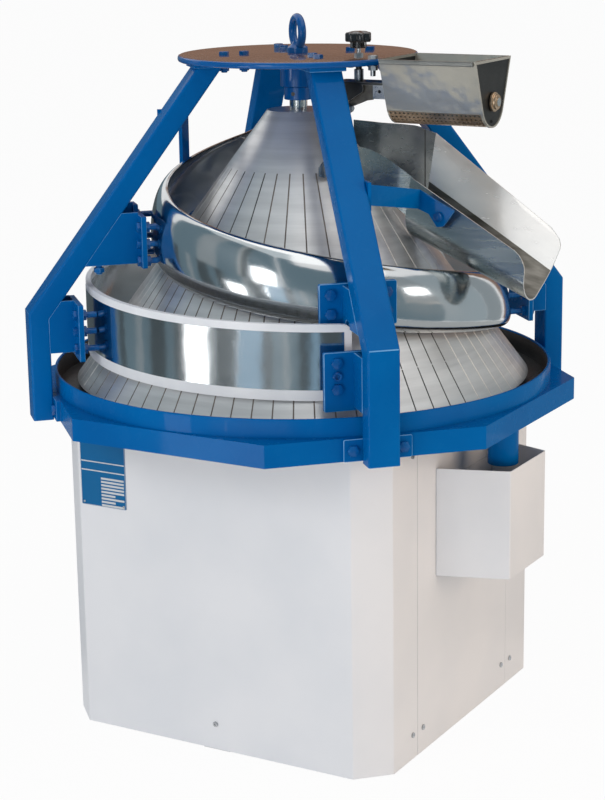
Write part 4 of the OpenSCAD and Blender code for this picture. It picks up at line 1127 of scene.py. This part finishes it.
def cone_section(low, high, groove_low, groove_high, wall, half_way=2000, count=72, turn=92.6):
    """A grooved ring, with every second groove ending half way up."""
    shape = Shape()
    levels = [low, groove_low, groove_low + 0.6, groove_high - 0.6, groove_high, high]
    levels += [mix(groove_low, groove_high, k / 6) for k in range(1, 6)]
    levels = sorted(levels + [z for z in (half_way - 0.6, half_way) if z < high])
    step = 360 / count
    rows = []
    for z in levels:
        r = cone_r(z)
        half = math.degrees(1.3 / r)
        row = []
        for i in range(count):
            reach = groove_high if i % 2 == 0 else min(half_way, groove_high)
            cut = 1.2 if groove_low < z < reach else 0.0
            stations = [(-half, 0), (-half * 0.7, cut), (half * 0.7, cut), (half, 0)]
            stations += [(mix(half, step - half, k / 7), 0) for k in range(1, 7)]
            row += [pol(r - depth, turn + i * step + offset, z) for offset, depth in stations]
        rows.append(row)
    ring_count = count * 10
    inner = [pol(max(cone_r(high) - wall, 18), turn + k * 360 / ring_count, high) for k in range(ring_count)]
    foot = [pol(cone_r(low) - wall, turn + k * 360 / ring_count, low) for k in range(ring_count)]
    shape.skin(rows + [inner, foot], caps=False, around=True)
    for k in range(len(shape.faces)):
        level, station = divmod(k, ring_count)
        i, place = divmod(station, 10)
        reach = groove_high if i % 2 == 0 else min(half_way, groove_high)
        # each groove's tone by its angle at rest is painted light: painted highlight or painted shade
        if place < 3 and 1 <= level < len(levels) - 1 and levels[level + 1] <= reach:
            shape.tones[k] = groove_painted_light(turn + i * step, levels[level] >= half_way)
    return shape


lower_cone = cone_section(693.6, 772, 697.6, 771.2, 10.1)
piece("cone_lower_grooved", lower_cone, [turned_aluminium, shade_and_seam_dark, flour, groove_soft],
      ["cone_lower"], sharp=28)
upper_cone = cone_section(772, 1218.5, 772.8, 1110, 44.5, half_way=925)
piece("cone_upper_grooved", upper_cone, [turned_aluminium, shade_and_seam_dark, flour, groove_soft],
      ["cone_upper"], sharp=28)
print("cone faces:", len(lower_cone.faces) + len(upper_cone.faces))

# %% [markdown]
# ## Tracks
# The lower track is a rolled steel wall, and the upper track is a bulged band that climbs round the
# cone. Both could be lofted between curves. A band of rings, one at each plan angle, follows the
# formulas above and keeps an even sheet thickness, which gives smooth reflections.

# %% Roll the tracks
def band(phis, outer, rows_up, wall):
    """A sheet band that climbs round the cone."""
    rows = []
    for phi in phis:
        line = [outer(phi, j / rows_up) for j in range(rows_up + 1)]
        row = [pol(r, phi, z) for r, z in line]
        top_r, top_z = line[-1]
        row.append(pol(top_r - wall * 0.5, phi, top_z))
        row += [pol(r - wall, phi, z) for r, z in line[::-1]]
        low_r, low_z = line[0]
        row.append(pol(low_r - wall * 0.5, phi, low_z))
        rows.append(row)
    shape = Shape()
    shape.skin(rows)
    return shape


def upper_outer(phi, share):
    u = (1 - math.cos(math.pi * share)) / 2
    return upper_ro(phi, u), mix(upper_zb(phi), upper_zt(phi), u)


def lower_outer(phi, share):
    return TRACK_R + 4.6, lower_z(phi) + LOW_EDGE + LOW_WALL * share


SHEET = 3.0
LOW_START = 42
LOW_END = -200
steps = 200
upper_band = band([160 - 360 * k / steps for k in range(steps + 1)], upper_outer, 24, SHEET)
piece("upper_track_band", upper_band, [steel], ["upper_track"], sharp=60)
open_end = LOW_START - math.degrees(14.1 / TRACK_R)
lower_band = band([mix(open_end, LOW_END, k / 150) for k in range(151)], lower_outer, 14, SHEET)
piece("lower_track_wall", lower_band, [steel], ["lower_track"], sharp=60)
print("upper band faces:", len(upper_band.faces), "lower wall faces:", len(lower_band.faces))

# %% [markdown]
# ## Edging
# A pale strip runs along the foot of the lower track, up its open end and back along the top. It
# could be three strips, but then the corners would show joints, so one strip follows the whole way
# with two rounded corners. It keeps clear of the turning cone.

# %% Bend the edging
CORNER = 16
TALL = 142
CLEAR = 0.7
EDGING_OUT = 431
EDGING_IN = 421


def edging_line():
    """Outer and inner edge of the strip, as (angle, height) pairs, with a rounded end."""
    per = math.degrees(1 / TRACK_R)
    low, high = lower_z(LOW_START), lower_z(LOW_START) + TALL
    run = [mix(LOW_START - 24 * per, LOW_END, k / 120) for k in range(121)]
    pairs = [((phi, lower_z(phi)), (phi, lower_z(phi) + LOW_EDGE)) for phi in run[::-1]]
    for k in range(1, 9):
        s, c = math.sin(math.pi / 2 * k / 8), math.cos(math.pi / 2 * k / 8)
        outer = (LOW_START - CORNER * per * (1 - s), low + CORNER * (1 - c))
        inner = (LOW_START - per * (CORNER + 3 - 6 * s), low + CORNER + 4 - 2 * c)
        pairs.append((outer, inner))
    for k in range(9):
        s, c = math.sin(math.pi / 2 * k / 8), math.cos(math.pi / 2 * k / 8)
        outer = (LOW_START - CORNER * per * (1 - c), high - CORNER * (1 - s))
        inner = (LOW_START - per * (CORNER - 2 + 2 * s), high - CORNER + 2 * s)
        pairs.append((outer, inner))
    pairs += [((phi, lower_z(phi) + TALL), (phi, lower_z(phi) + LOW_EDGE + LOW_WALL)) for phi in run]
    return pairs


edging = Shape()
rows = []
for (phi_a, z_a), (phi_b, z_b) in edging_line():
    in_a = max(EDGING_IN, cone_r(z_a) + CLEAR)
    in_b = max(EDGING_IN, cone_r(z_b) + CLEAR)
    rows.append([pol(EDGING_OUT, phi_a, z_a), pol(EDGING_OUT, phi_b, z_b), pol(in_b, phi_b, z_b),
                 pol(in_a, phi_a, z_a)])
edging.skin(rows)
piece("track_edging_strip", edging, [edging_grey], ["track_edging"], 1.6, 50)
dress("track_hanger", [blue], 1.0)
print("edging stations:", len(rows))

# %% [markdown]
# ## Chute
# The trough is one folded sheet, deep at the cone and wide at the mouth. A flat sheet could be bent
# with modifiers. Cross sections are worked out along its length instead, because depth, width and
# lean all change on the way. In each, two walls run tangent into a round fold.

# %% Draw the cross section of the chute
CHUTE_START = (225.9, 62.6, 1104.5)
CHUTE_TURN = math.radians(3)
CHUTE_FALL = 0.4966
CHUTE_LONG = 282
CHUTE_FOLD = 38
WALL_STEPS = 16
FOLD_STEPS = 20


def chute_point(s, u, v):
    c, d = math.cos(CHUTE_TURN), math.sin(CHUTE_TURN)
    x, y, z = CHUTE_START
    return Vector((x + c * s + d * u, y - d * s + c * u, z - CHUTE_FALL * s + v))


def chute_section(s, inset):
    """Cross section at a distance from the cone: near wall, fold, far wall."""
    g = s / CHUTE_LONG
    w = mix(98, 168, g) - 2 * inset
    rise = mix(78, 13, g)
    off = mix(-33, -52, g)
    depth = mix(118, 85, g) - inset
    r = CHUTE_FOLD - inset
    cv = r - depth

    def touch(u, v, sign):
        return math.atan2(v, u) + sign * math.acos(r / math.hypot(u, v))

    a0 = touch(-w / 2 - off, -cv, 1)
    a1 = touch(w / 2 - off, rise - cv, -1) + 2 * math.pi
    turns = [mix(a0, a1, k / FOLD_STEPS) for k in range(FOLD_STEPS + 1)]
    fold = [(off + r * math.cos(a), cv + r * math.sin(a)) for a in turns]
    (u0, v0), (u1, v1) = fold[0], fold[-1]
    near = [(mix(-w / 2, u0, k / WALL_STEPS), mix(0, v0, k / WALL_STEPS)) for k in range(WALL_STEPS)]
    far = []
    for k in range(1, WALL_STEPS + 1):
        swell = 7 * g * math.sin(math.pi * k / WALL_STEPS)
        far.append((mix(u1, w / 2, k / WALL_STEPS) + 0.8 * swell,
                    mix(v1, rise, k / WALL_STEPS) - 0.6 * swell))
    return near + fold + far


mouth = chute_section(CHUTE_LONG, 0)
print("mouth of the chute:", round(mouth[-1][0] - mouth[0][0]), "mm wide")

# %% [markdown]
# ## Sheet of the chute
# The corners at the mouth are cut round. A boolean could cut them off, but here each line of the
# sheet simply ends sooner, because that leaves clean rows of faces. The bottom of the inside is
# painted dark as painted shade, and the outside is painted a darker, greener steel than the inside as
# painted reflection, so a face gets its finish by where it lies.

# %% Fold the chute
def chute_ends(corner=26):
    """How far each line of the sheet runs, with the mouth's corners cut round."""
    length = [0]
    for a, b in zip(mouth, mouth[1:]):
        length.append(length[-1] + math.hypot(b[0] - a[0], b[1] - a[1]))
    ends = []
    for d in length:
        d = min(d, length[-1] - d, corner)
        ends.append(CHUTE_LONG - corner + math.sqrt(corner ** 2 - (corner - d) ** 2))
    return ends


def chute_shape(parts=24, start=18, sheet=2.5):
    ends = chute_ends()
    rows = []
    for k in range(parts + 1):
        reach = [mix(start, end, k / parts) for end in ends]
        outside = [chute_point(s, *chute_section(s, 0)[i]) for i, s in enumerate(reach)]
        inside = [chute_point(s, *chute_section(s, sheet)[i]) for i, s in enumerate(reach)]
        rows.append(outside + inside[::-1])
    shape = Shape()
    shape.skin(rows)
    across = len(ends)
    for k, face in enumerate(shape.faces):
        if len(face) > 4:
            continue
        spots = [i % (2 * across) - across for i in face]
        # faces along the bottom of the inside get painted shade, faces on the outside painted reflection
        if min(spots) >= 9 and max(spots) <= 36:
            shape.tones[k] = 1
        if max(spots) < 0:
            shape.tones[k] = 2
    return shape


chute = chute_shape()
piece("chute_trough_sheet", chute, [chute_steel, chute_shade, chute_painted_reflection],
      ["chute_trough"], sharp=50)
print("chute faces:", len(chute.faces))

# %% [markdown]
# ## Throat of the chute
# Two upright sheets lead the dough off the cone into the trough. They could be cut from a cylinder,
# but each follows its own line, so a smooth curve is laid through a few measured points that give
# plan, lower edge and upper edge. A dark weld seam joins the far one, and a blue arm holds the chute.

# %% Bend the throat sheets and set the arm
def smooth_line(table, parts=8):
    """Points on a smooth curve through the rows of a table."""
    made = []
    for k in range(len(table) - 1):
        p0 = table[max(k - 1, 0)]
        p1, p2 = table[k], table[k + 1]
        p3 = table[min(k + 2, len(table) - 1)]
        for i in range(parts):
            f = i / parts
            made.append([0.5 * (2 * b + (c - a) * f + (2 * a - 5 * b + 4 * c - d) * f * f
                                + (3 * b - a - 3 * c + d) * f ** 3) for a, b, c, d in zip(p0, p1, p2, p3)])
    made.append(list(table[-1]))
    return made


def upright_sheet(shape, table, thick, rows_up=6):
    line = smooth_line(table)
    rings = []
    for k, p in enumerate(line):
        a = line[max(k - 1, 0)]
        b = line[min(k + 1, len(line) - 1)]
        d = Vector((b[0] - a[0], b[1] - a[1])).normalized()
        n = Vector((-d.y, d.x)) * thick / 2
        up = [mix(p[2], p[3], j / rows_up) for j in range(rows_up + 1)]
        near = [(p[0] + n.x, p[1] + n.y, z) for z in up]
        far = [(p[0] - n.x, p[1] - n.y, z) for z in up[::-1]]
        rings.append(near + far)
    shape.skin(rings)


# each row: x, y, lower edge, upper edge
back_guard = [(20, 192, 1084, 1178), (66, 178, 1078, 1178), (95, 167, 1074, 1178), (130, 155, 1066, 1179),
              (165, 141, 1056, 1180), (200, 128, 1046, 1179), (247.5, 113, 1040, 1169)]
deflector = [(108, -115, 1106, 1122), (118, -106, 1103, 1138), (133, -79, 1106, 1156), (147, -53, 1104, 1158),
             (167, -28.5, 1086, 1152), (192, -8, 1056, 1136), (215, 6, 1034, 1117), (244, 12.5, 1012, 1096)]
throat = Shape()
upright_sheet(throat, back_guard, 2.5)
upright_sheet(throat, deflector, 2.5)
bead = [(217.6 + x, 121.1 + y) for x, y, _ in circle(1.3, 0, 8)]
throat.skin([[(x, y, z) for x, y in bead] for z in (1054, 1085, 1120, 1150, 1175)], tone=1)
# the throat sheets get the same darker steel as the chute's outside, as painted reflection
piece("chute_throat_sheets", throat, [chute_painted_reflection, shade_and_seam_dark], ["chute_throat"], sharp=50)
dress("chute_arm", [blue], 1.0)
chute_screw = Shape()
place = shift(322, 0, 1030) @ TURN_Y
chute_screw.rod(5, 8, 34, place)
chute_screw.hex_head(17, 6.5, place @ shift(0, 0, 31.5))
chute_screw.hex_head(17, 7.5, place @ shift(0, 0, 17))
piece("chute_screw", chute_screw, [bolt_blue], ["chute_bolt"])
print("throat faces:", len(throat.faces))

# %% [markdown]
# ## Hopper of the flour duster
# The hopper is folded from thin steel with a lip along each rim. A box with a bevel could pass for
# it, but the cross section is a pair of straight walls that run tangent into a round bottom, so it
# is drawn as a line and stretched along the hopper.

# %% Fold the hopper
HOP_X0 = 244
HOP_X1 = 442
HOP_Y = -50
HOP_Z = 1254
ROUND = 47
HOP_HALF = 77
RISE = 78
STRIP_TOP = -20


def hopper_place(x):
    """Local x along the machine's y, local y up."""
    return Matrix(((0, 0, 1, x), (1, 0, 0, HOP_Y), (0, 1, 0, HOP_Z), (0, 0, 0, 1)))


def hopper_line(r, half, low=None, steps=18):
    """Half of the cross section from the rim down, on the +y side."""
    a = math.atan2(RISE, half) - math.acos(r / math.hypot(half, RISE))
    end = -math.pi / 2 if low is None else math.asin(low / r)
    turns = [mix(a, end, k / steps) for k in range(steps + 1)]
    line = [Vector((half, RISE))]
    for k in range(1, 6):
        line.append(Vector((mix(half, r * math.cos(a), k / 6), mix(RISE, r * math.sin(a), k / 6))))
    return line + [Vector((r * math.cos(t), r * math.sin(t))) for t in turns]


def along_hopper(outline, stations):
    """The outline set up at each station along the hopper."""
    return [[hopper_place(x) @ Vector((p[0], p[1], 0)) for p in outline] for x in stations]


x0, x1 = HOP_X0 + 3, HOP_X1 - 5
shell = Shape()
for s in (-1, 1):
    outer = hopper_line(ROUND, HOP_HALF, STRIP_TOP)
    inner = hopper_line(ROUND - 2, HOP_HALF - 2.1, STRIP_TOP)
    loop = [(s * p.x, p.y) for p in outer + inner[::-1]]
    shell.skin(along_hopper(loop, [mix(x0, x1, k / 12) for k in range(13)]))
    lip = rounded([(s * 75.5, 69.5), (s * 80.6, 69.5), (s * 80.8, 78), (s * 75.5, 78)], 1.8, 4)
    shell.skin(along_hopper(lip, (x0, x1)), tone=1)
piece("hopper_shell_folded", shell, [hopper_steel, lip_steel], ["hopper_shell"], sharp=50)
print("shell faces:", len(shell.faces))

# %% [markdown]
# ## Perforated strip
# The round bottom is a brass strip full of small holes, through which the flour falls. The holes
# could be cut with a boolean, or faked with a texture. A grid of cells is built instead, each a
# square with a round hole in it, because that stays clean and quick. A dark bed behind the strip is
# painted shade, so that the holes read dark.

# %% Punch the strip
HOLE = 0.26
THICK = 1.6
around, along = 12, 21
a0, a1 = math.pi - math.asin(STRIP_TOP / ROUND), 2 * math.pi + math.asin(STRIP_TOP / ROUND)
corners = [(math.cos(math.pi / 4 * k), math.sin(math.pi / 4 * k)) for k in range(8)]
links = [[2 * k, 2 * ((k + 1) % 8), 2 * ((k + 1) % 8) + 1, 2 * k + 1] for k in range(8)]


def strip_point(i, j, c, s, size, r):
    a = mix(a0, a1, (i + 0.5 + c * size) / around)
    x = mix(x0, x1, (j + 0.5 + s * size) / along)
    return (x, HOP_Y + r * math.cos(a), HOP_Z + r * math.sin(a))


strip = Shape()
for layer, r in enumerate((ROUND, ROUND - THICK)):
    for i in range(around):
        for j in range(along):
            cell = []
            wall = []
            for c, s in corners:
                square = 0.5 / max(abs(c), abs(s))
                cell += [strip_point(i, j, c, s, size, r) for size in (square, HOLE)]
                wall += [strip_point(i, j, c, s, HOLE, depth) for depth in (ROUND, ROUND - THICK)]
            strip.add(cell, links)
            if layer == 0:
                strip.add(wall, links)
# the dark bed is painted shade behind the holes
bed = []
for r, way in ((ROUND - 1.9, 1), (ROUND - 2.6, -1)):
    bed += [(r * math.cos(a), r * math.sin(a)) for a in [mix(a0, a1, k / 24) for k in range(25)][::way]]
strip.skin(along_hopper(bed, (x0 + 1, x1 - 1)), tone=1)
piece("perforated_strip", strip, [brass, shade_and_seam_dark], ["perforated_trough"], sharp=50)
print("holes in the strip:", around * along)

# %% [markdown]
# ## Ends of the hopper
# Each end is a dark plate in a steel frame, and a brass boss carries the shaft that stirs the flour.
# One thick plate would do, but the frame stands proud of the plate, and its bright rim shows in the
# picture, so frame and plate are separate rings.

# %% Close the hopper ends and set the boss
def end_outline(r, half):
    line = [Vector((p.x, min(p.y, RISE))) for p in hopper_line(r, half)]
    return line + [Vector((-p.x, p.y)) for p in line[::-1][1:]]


ends = Shape()
top_bar = [(3 - HOP_HALF, 73), (HOP_HALF - 3, 73), (HOP_HALF - 3, RISE), (3 - HOP_HALF, RISE)]
for x_a, x_b, grow in ((HOP_X0, x0, 0.0), (x1, HOP_X1, 1.0)):
    big = end_outline(ROUND + grow, HOP_HALF + grow)
    small = end_outline(ROUND + grow - 3.2, HOP_HALF + grow - 3.4)
    rows = along_hopper(big, (x_a, x_b)) + along_hopper(small, (x_b, x_a))
    ends.skin(rows, wrap=False, caps=False, around=True)
    face = end_outline(ROUND + grow - 3.0, HOP_HALF + grow - 3.2)
    middle = (x_a + x_b) / 2
    ends.skin(along_hopper(face, (middle - 1, middle + 0.8)), tone=1)
    ends.skin(along_hopper(top_bar, (x_a, x_b)))
ends.turned([(8.05, 0), (14, 0), (14, 9), (8.05, 9)], 32, 0, shift(x0, HOP_Y, HOP_Z) @ TURN_X, closed=True)
ends.socket_head(3.0, 1.6, shift(HOP_X1 - 1.7, HOP_Y - 4, HOP_Z - 36) @ TURN_X, 1, 0.5, 24)
piece("hopper_end_plates", ends, [hopper_steel, end_plate_dark], ["hopper_ends"], 0.5)
boss = Shape()
boss.turned([(8.05, 0), (17.2, 0), (18, 0.8), (18, 4), (17.2, 5), (14.4, 5.4), (14, 6), (14, 9.2),
             (13.2, 10), (9.2, 10), (8.05, 9)], 48, 0, shift(HOP_X1, HOP_Y, HOP_Z) @ TURN_X, closed=True)
piece("hopper_boss_turned", boss, [brass], ["hopper_boss"])
dress("agitator", [bright_steel], 0.8)
print("hopper ends:", len(ends.faces), "faces")

# %% [markdown]
# ## Star knob
# The black star knob clamps the duster where it is swung to. Seven cylinders could be joined to a
# disc, but a moulded knob has no seams, so its outline is one wavy ring whose lobes fade towards
# the neck and the crown.

# %% Mould the knob
SWING = (165, -55)
LOBES = 7
NECK = 90
knob = Shape()


def knob_ring(scale, z, depth, steps=112):
    """A ring of the knob. A large depth leaves only thin tips of the lobes."""
    row = []
    for k in range(steps):
        a = 2 * math.pi * k / steps
        lobe = 0.5 + 0.5 * math.cos(LOBES * a)
        r = scale * (18.6 + 6.9 * lobe ** depth)
        row.append((SWING[0] + r * math.cos(a), SWING[1] + r * math.sin(a), z))
    return row


knob.skin([knob_ring(*level) for level in (
    (0.45, 1345, NECK), (0.62, 1345.6, NECK), (0.64, 1347, NECK), (0.64, 1356.4, NECK), (0.92, 1357, 0.7),
    (0.985, 1358.2, 0.7), (1.0, 1360, 0.7), (1.0, 1371, 0.7), (0.97, 1373.2, 0.75), (0.9, 1374.4, 0.9),
    (0.72, 1375.2, 2.5), (0.62, 1376.2, 20), (0.42, 1377, 60))])
piece("star_knob_moulded", knob, [knob_black], ["star_knob"], sharp=50)
dress("knob_rod", [zinc], 0.6)
print("knob faces:", len(knob.faces))

# %% [markdown]
# ## Bracket
# A black bracket carries the hopper under the top plate. It is bent and welded from flat bar, so
# it is put together here from plates, as a fitter would. A single carved block would lose the gaps
# between them. The bevel has a finish of its own, because black paint wears off at the edges first.

# %% Weld the bracket and set its screws
bracket = Shape()
bracket.box((122, -82, 1279), (240, -28, 1284), 0, None, 6)
bracket.box((238, -82, 1250), (244, -28, 1298), 0, None, 1)
near_cheek = rounded([(128, 1280), (188, 1280), (188, 1266), (140, 1237), (128, 1244)], 6)
bracket.plate(near_cheek, 77, 82, 0, TURN_Y)
strap = rounded([(150, 1280), (206, 1280), (206, 1251), (192, 1249), (164, 1238), (150, 1236), (138, 1224),
                 (132, 1232), (138, 1250)], 4)
bracket.plate(strap, 70, 74, 2, TURN_Y)
far_cheek = rounded([(128, 1280), (240, 1280), (240, 1252), (200, 1252), (128, 1264)], 5)
bracket.plate(far_cheek, 28, 33, 0, TURN_Y)
bracket.turned([(4.2, 1284), (9, 1284), (9, 1305.4), (8.2, 1306), (4.2, 1306)], 32, 1,
               shift(*SWING, 0), closed=True)
bracket.turned([(4.2, 1306), (6, 1306), (6, 1315.6), (4.2, 1315.6)], 32, 0, shift(*SWING, 0), closed=True)
bracket = piece("duster_bracket_bent", bracket, [black_paint, zinc, old_steel, worn_edge],
                ["duster_bracket"], 0.9)
bracket.modifiers["edge"].material = 3
dress("shaft_block", [zinc], 1.0)
clamp_screw = Shape()
place = shift(153, SWING[1], 1232) @ TURN_Y
clamp_screw.rod(5, 5, 31, place)
clamp_screw.hex_head(15, 7, place @ shift(0, 0, 27))
clamp_screw.hex_head(15, 8, place @ shift(0, 0, 14))
piece("clamp_screw", clamp_screw, [zinc], ["clamp_bolt"])
fixings = Shape()
stop = shift(209, -81, 0)
fixings.hex_head(15, 8, shift(*SWING, PLATE_TOP))
fixings.rod(5, 1296, 1330, stop)
fixings.hex_head(16, 7, stop @ shift(0, 0, PLATE_TOP))
fixings.hex_head(16, 9, stop @ shift(0, 0, 1307))
piece("duster_nuts", fixings, [zinc], ["duster_fixings"])
print("bracket faces:", len(bracket.data.polygons))

# %% [markdown]
# ## Inside and behind
# The drive stands inside the cabinet: motor, belt and pulleys on the base plate. The switch box
# with its two push buttons sits on the left side. These could be drawn again too, but they are
# hidden or plain, so the solids are dressed as they are, and only the button caps are turned.

# %% Dress the drive and the switch box
BOX_FACE = -423
for node in ("base_plate", "chassis", "deck", "cone_spider"):
    dress(node, [zinc], 0.8)
for node in ("deck_bearing", "foot_bearing", "main_pulley", "motor_pulley"):
    dress(node, [cast_iron], 1.0)
dress("motor_body", [grey_paint], 1.5)
dress("drive_belt", [rubber], 0.6)
dress("switch_box", [box_grey], 3.0)
dress("cable_gland", [knob_black], 0.8)
for node, slot, paint, z in (("start_button", "green_plastic", green, 525),
                             ("stop_button", "red_plastic", red, 465)):
    button = Shape()
    button.turned([(1, 0), (9.5, 0.2), (11.4, 1.0), (12, 2.6), (12, 26), (1, 26)], 48, 0,
                  shift(BOX_FACE, 0, z) @ TURN_X)
    piece(node + "_cap", button, [paint], [node])
left = [o.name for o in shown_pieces() if "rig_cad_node" in o]
print("solids left as they were:", left)

# %% [markdown]
# ## Size
# The finished machine should keep inside the box of the packed part, so that it fits wherever the
# solids fit. It could be checked by eye in the viewport. Here the box round the shown pieces is
# measured, and its height and width are printed.

# %% Measure and finish
low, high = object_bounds()
print("height", round((high.z - low.z) * 1000), "mm, width", round((high.x - low.x) * 1000), "mm")
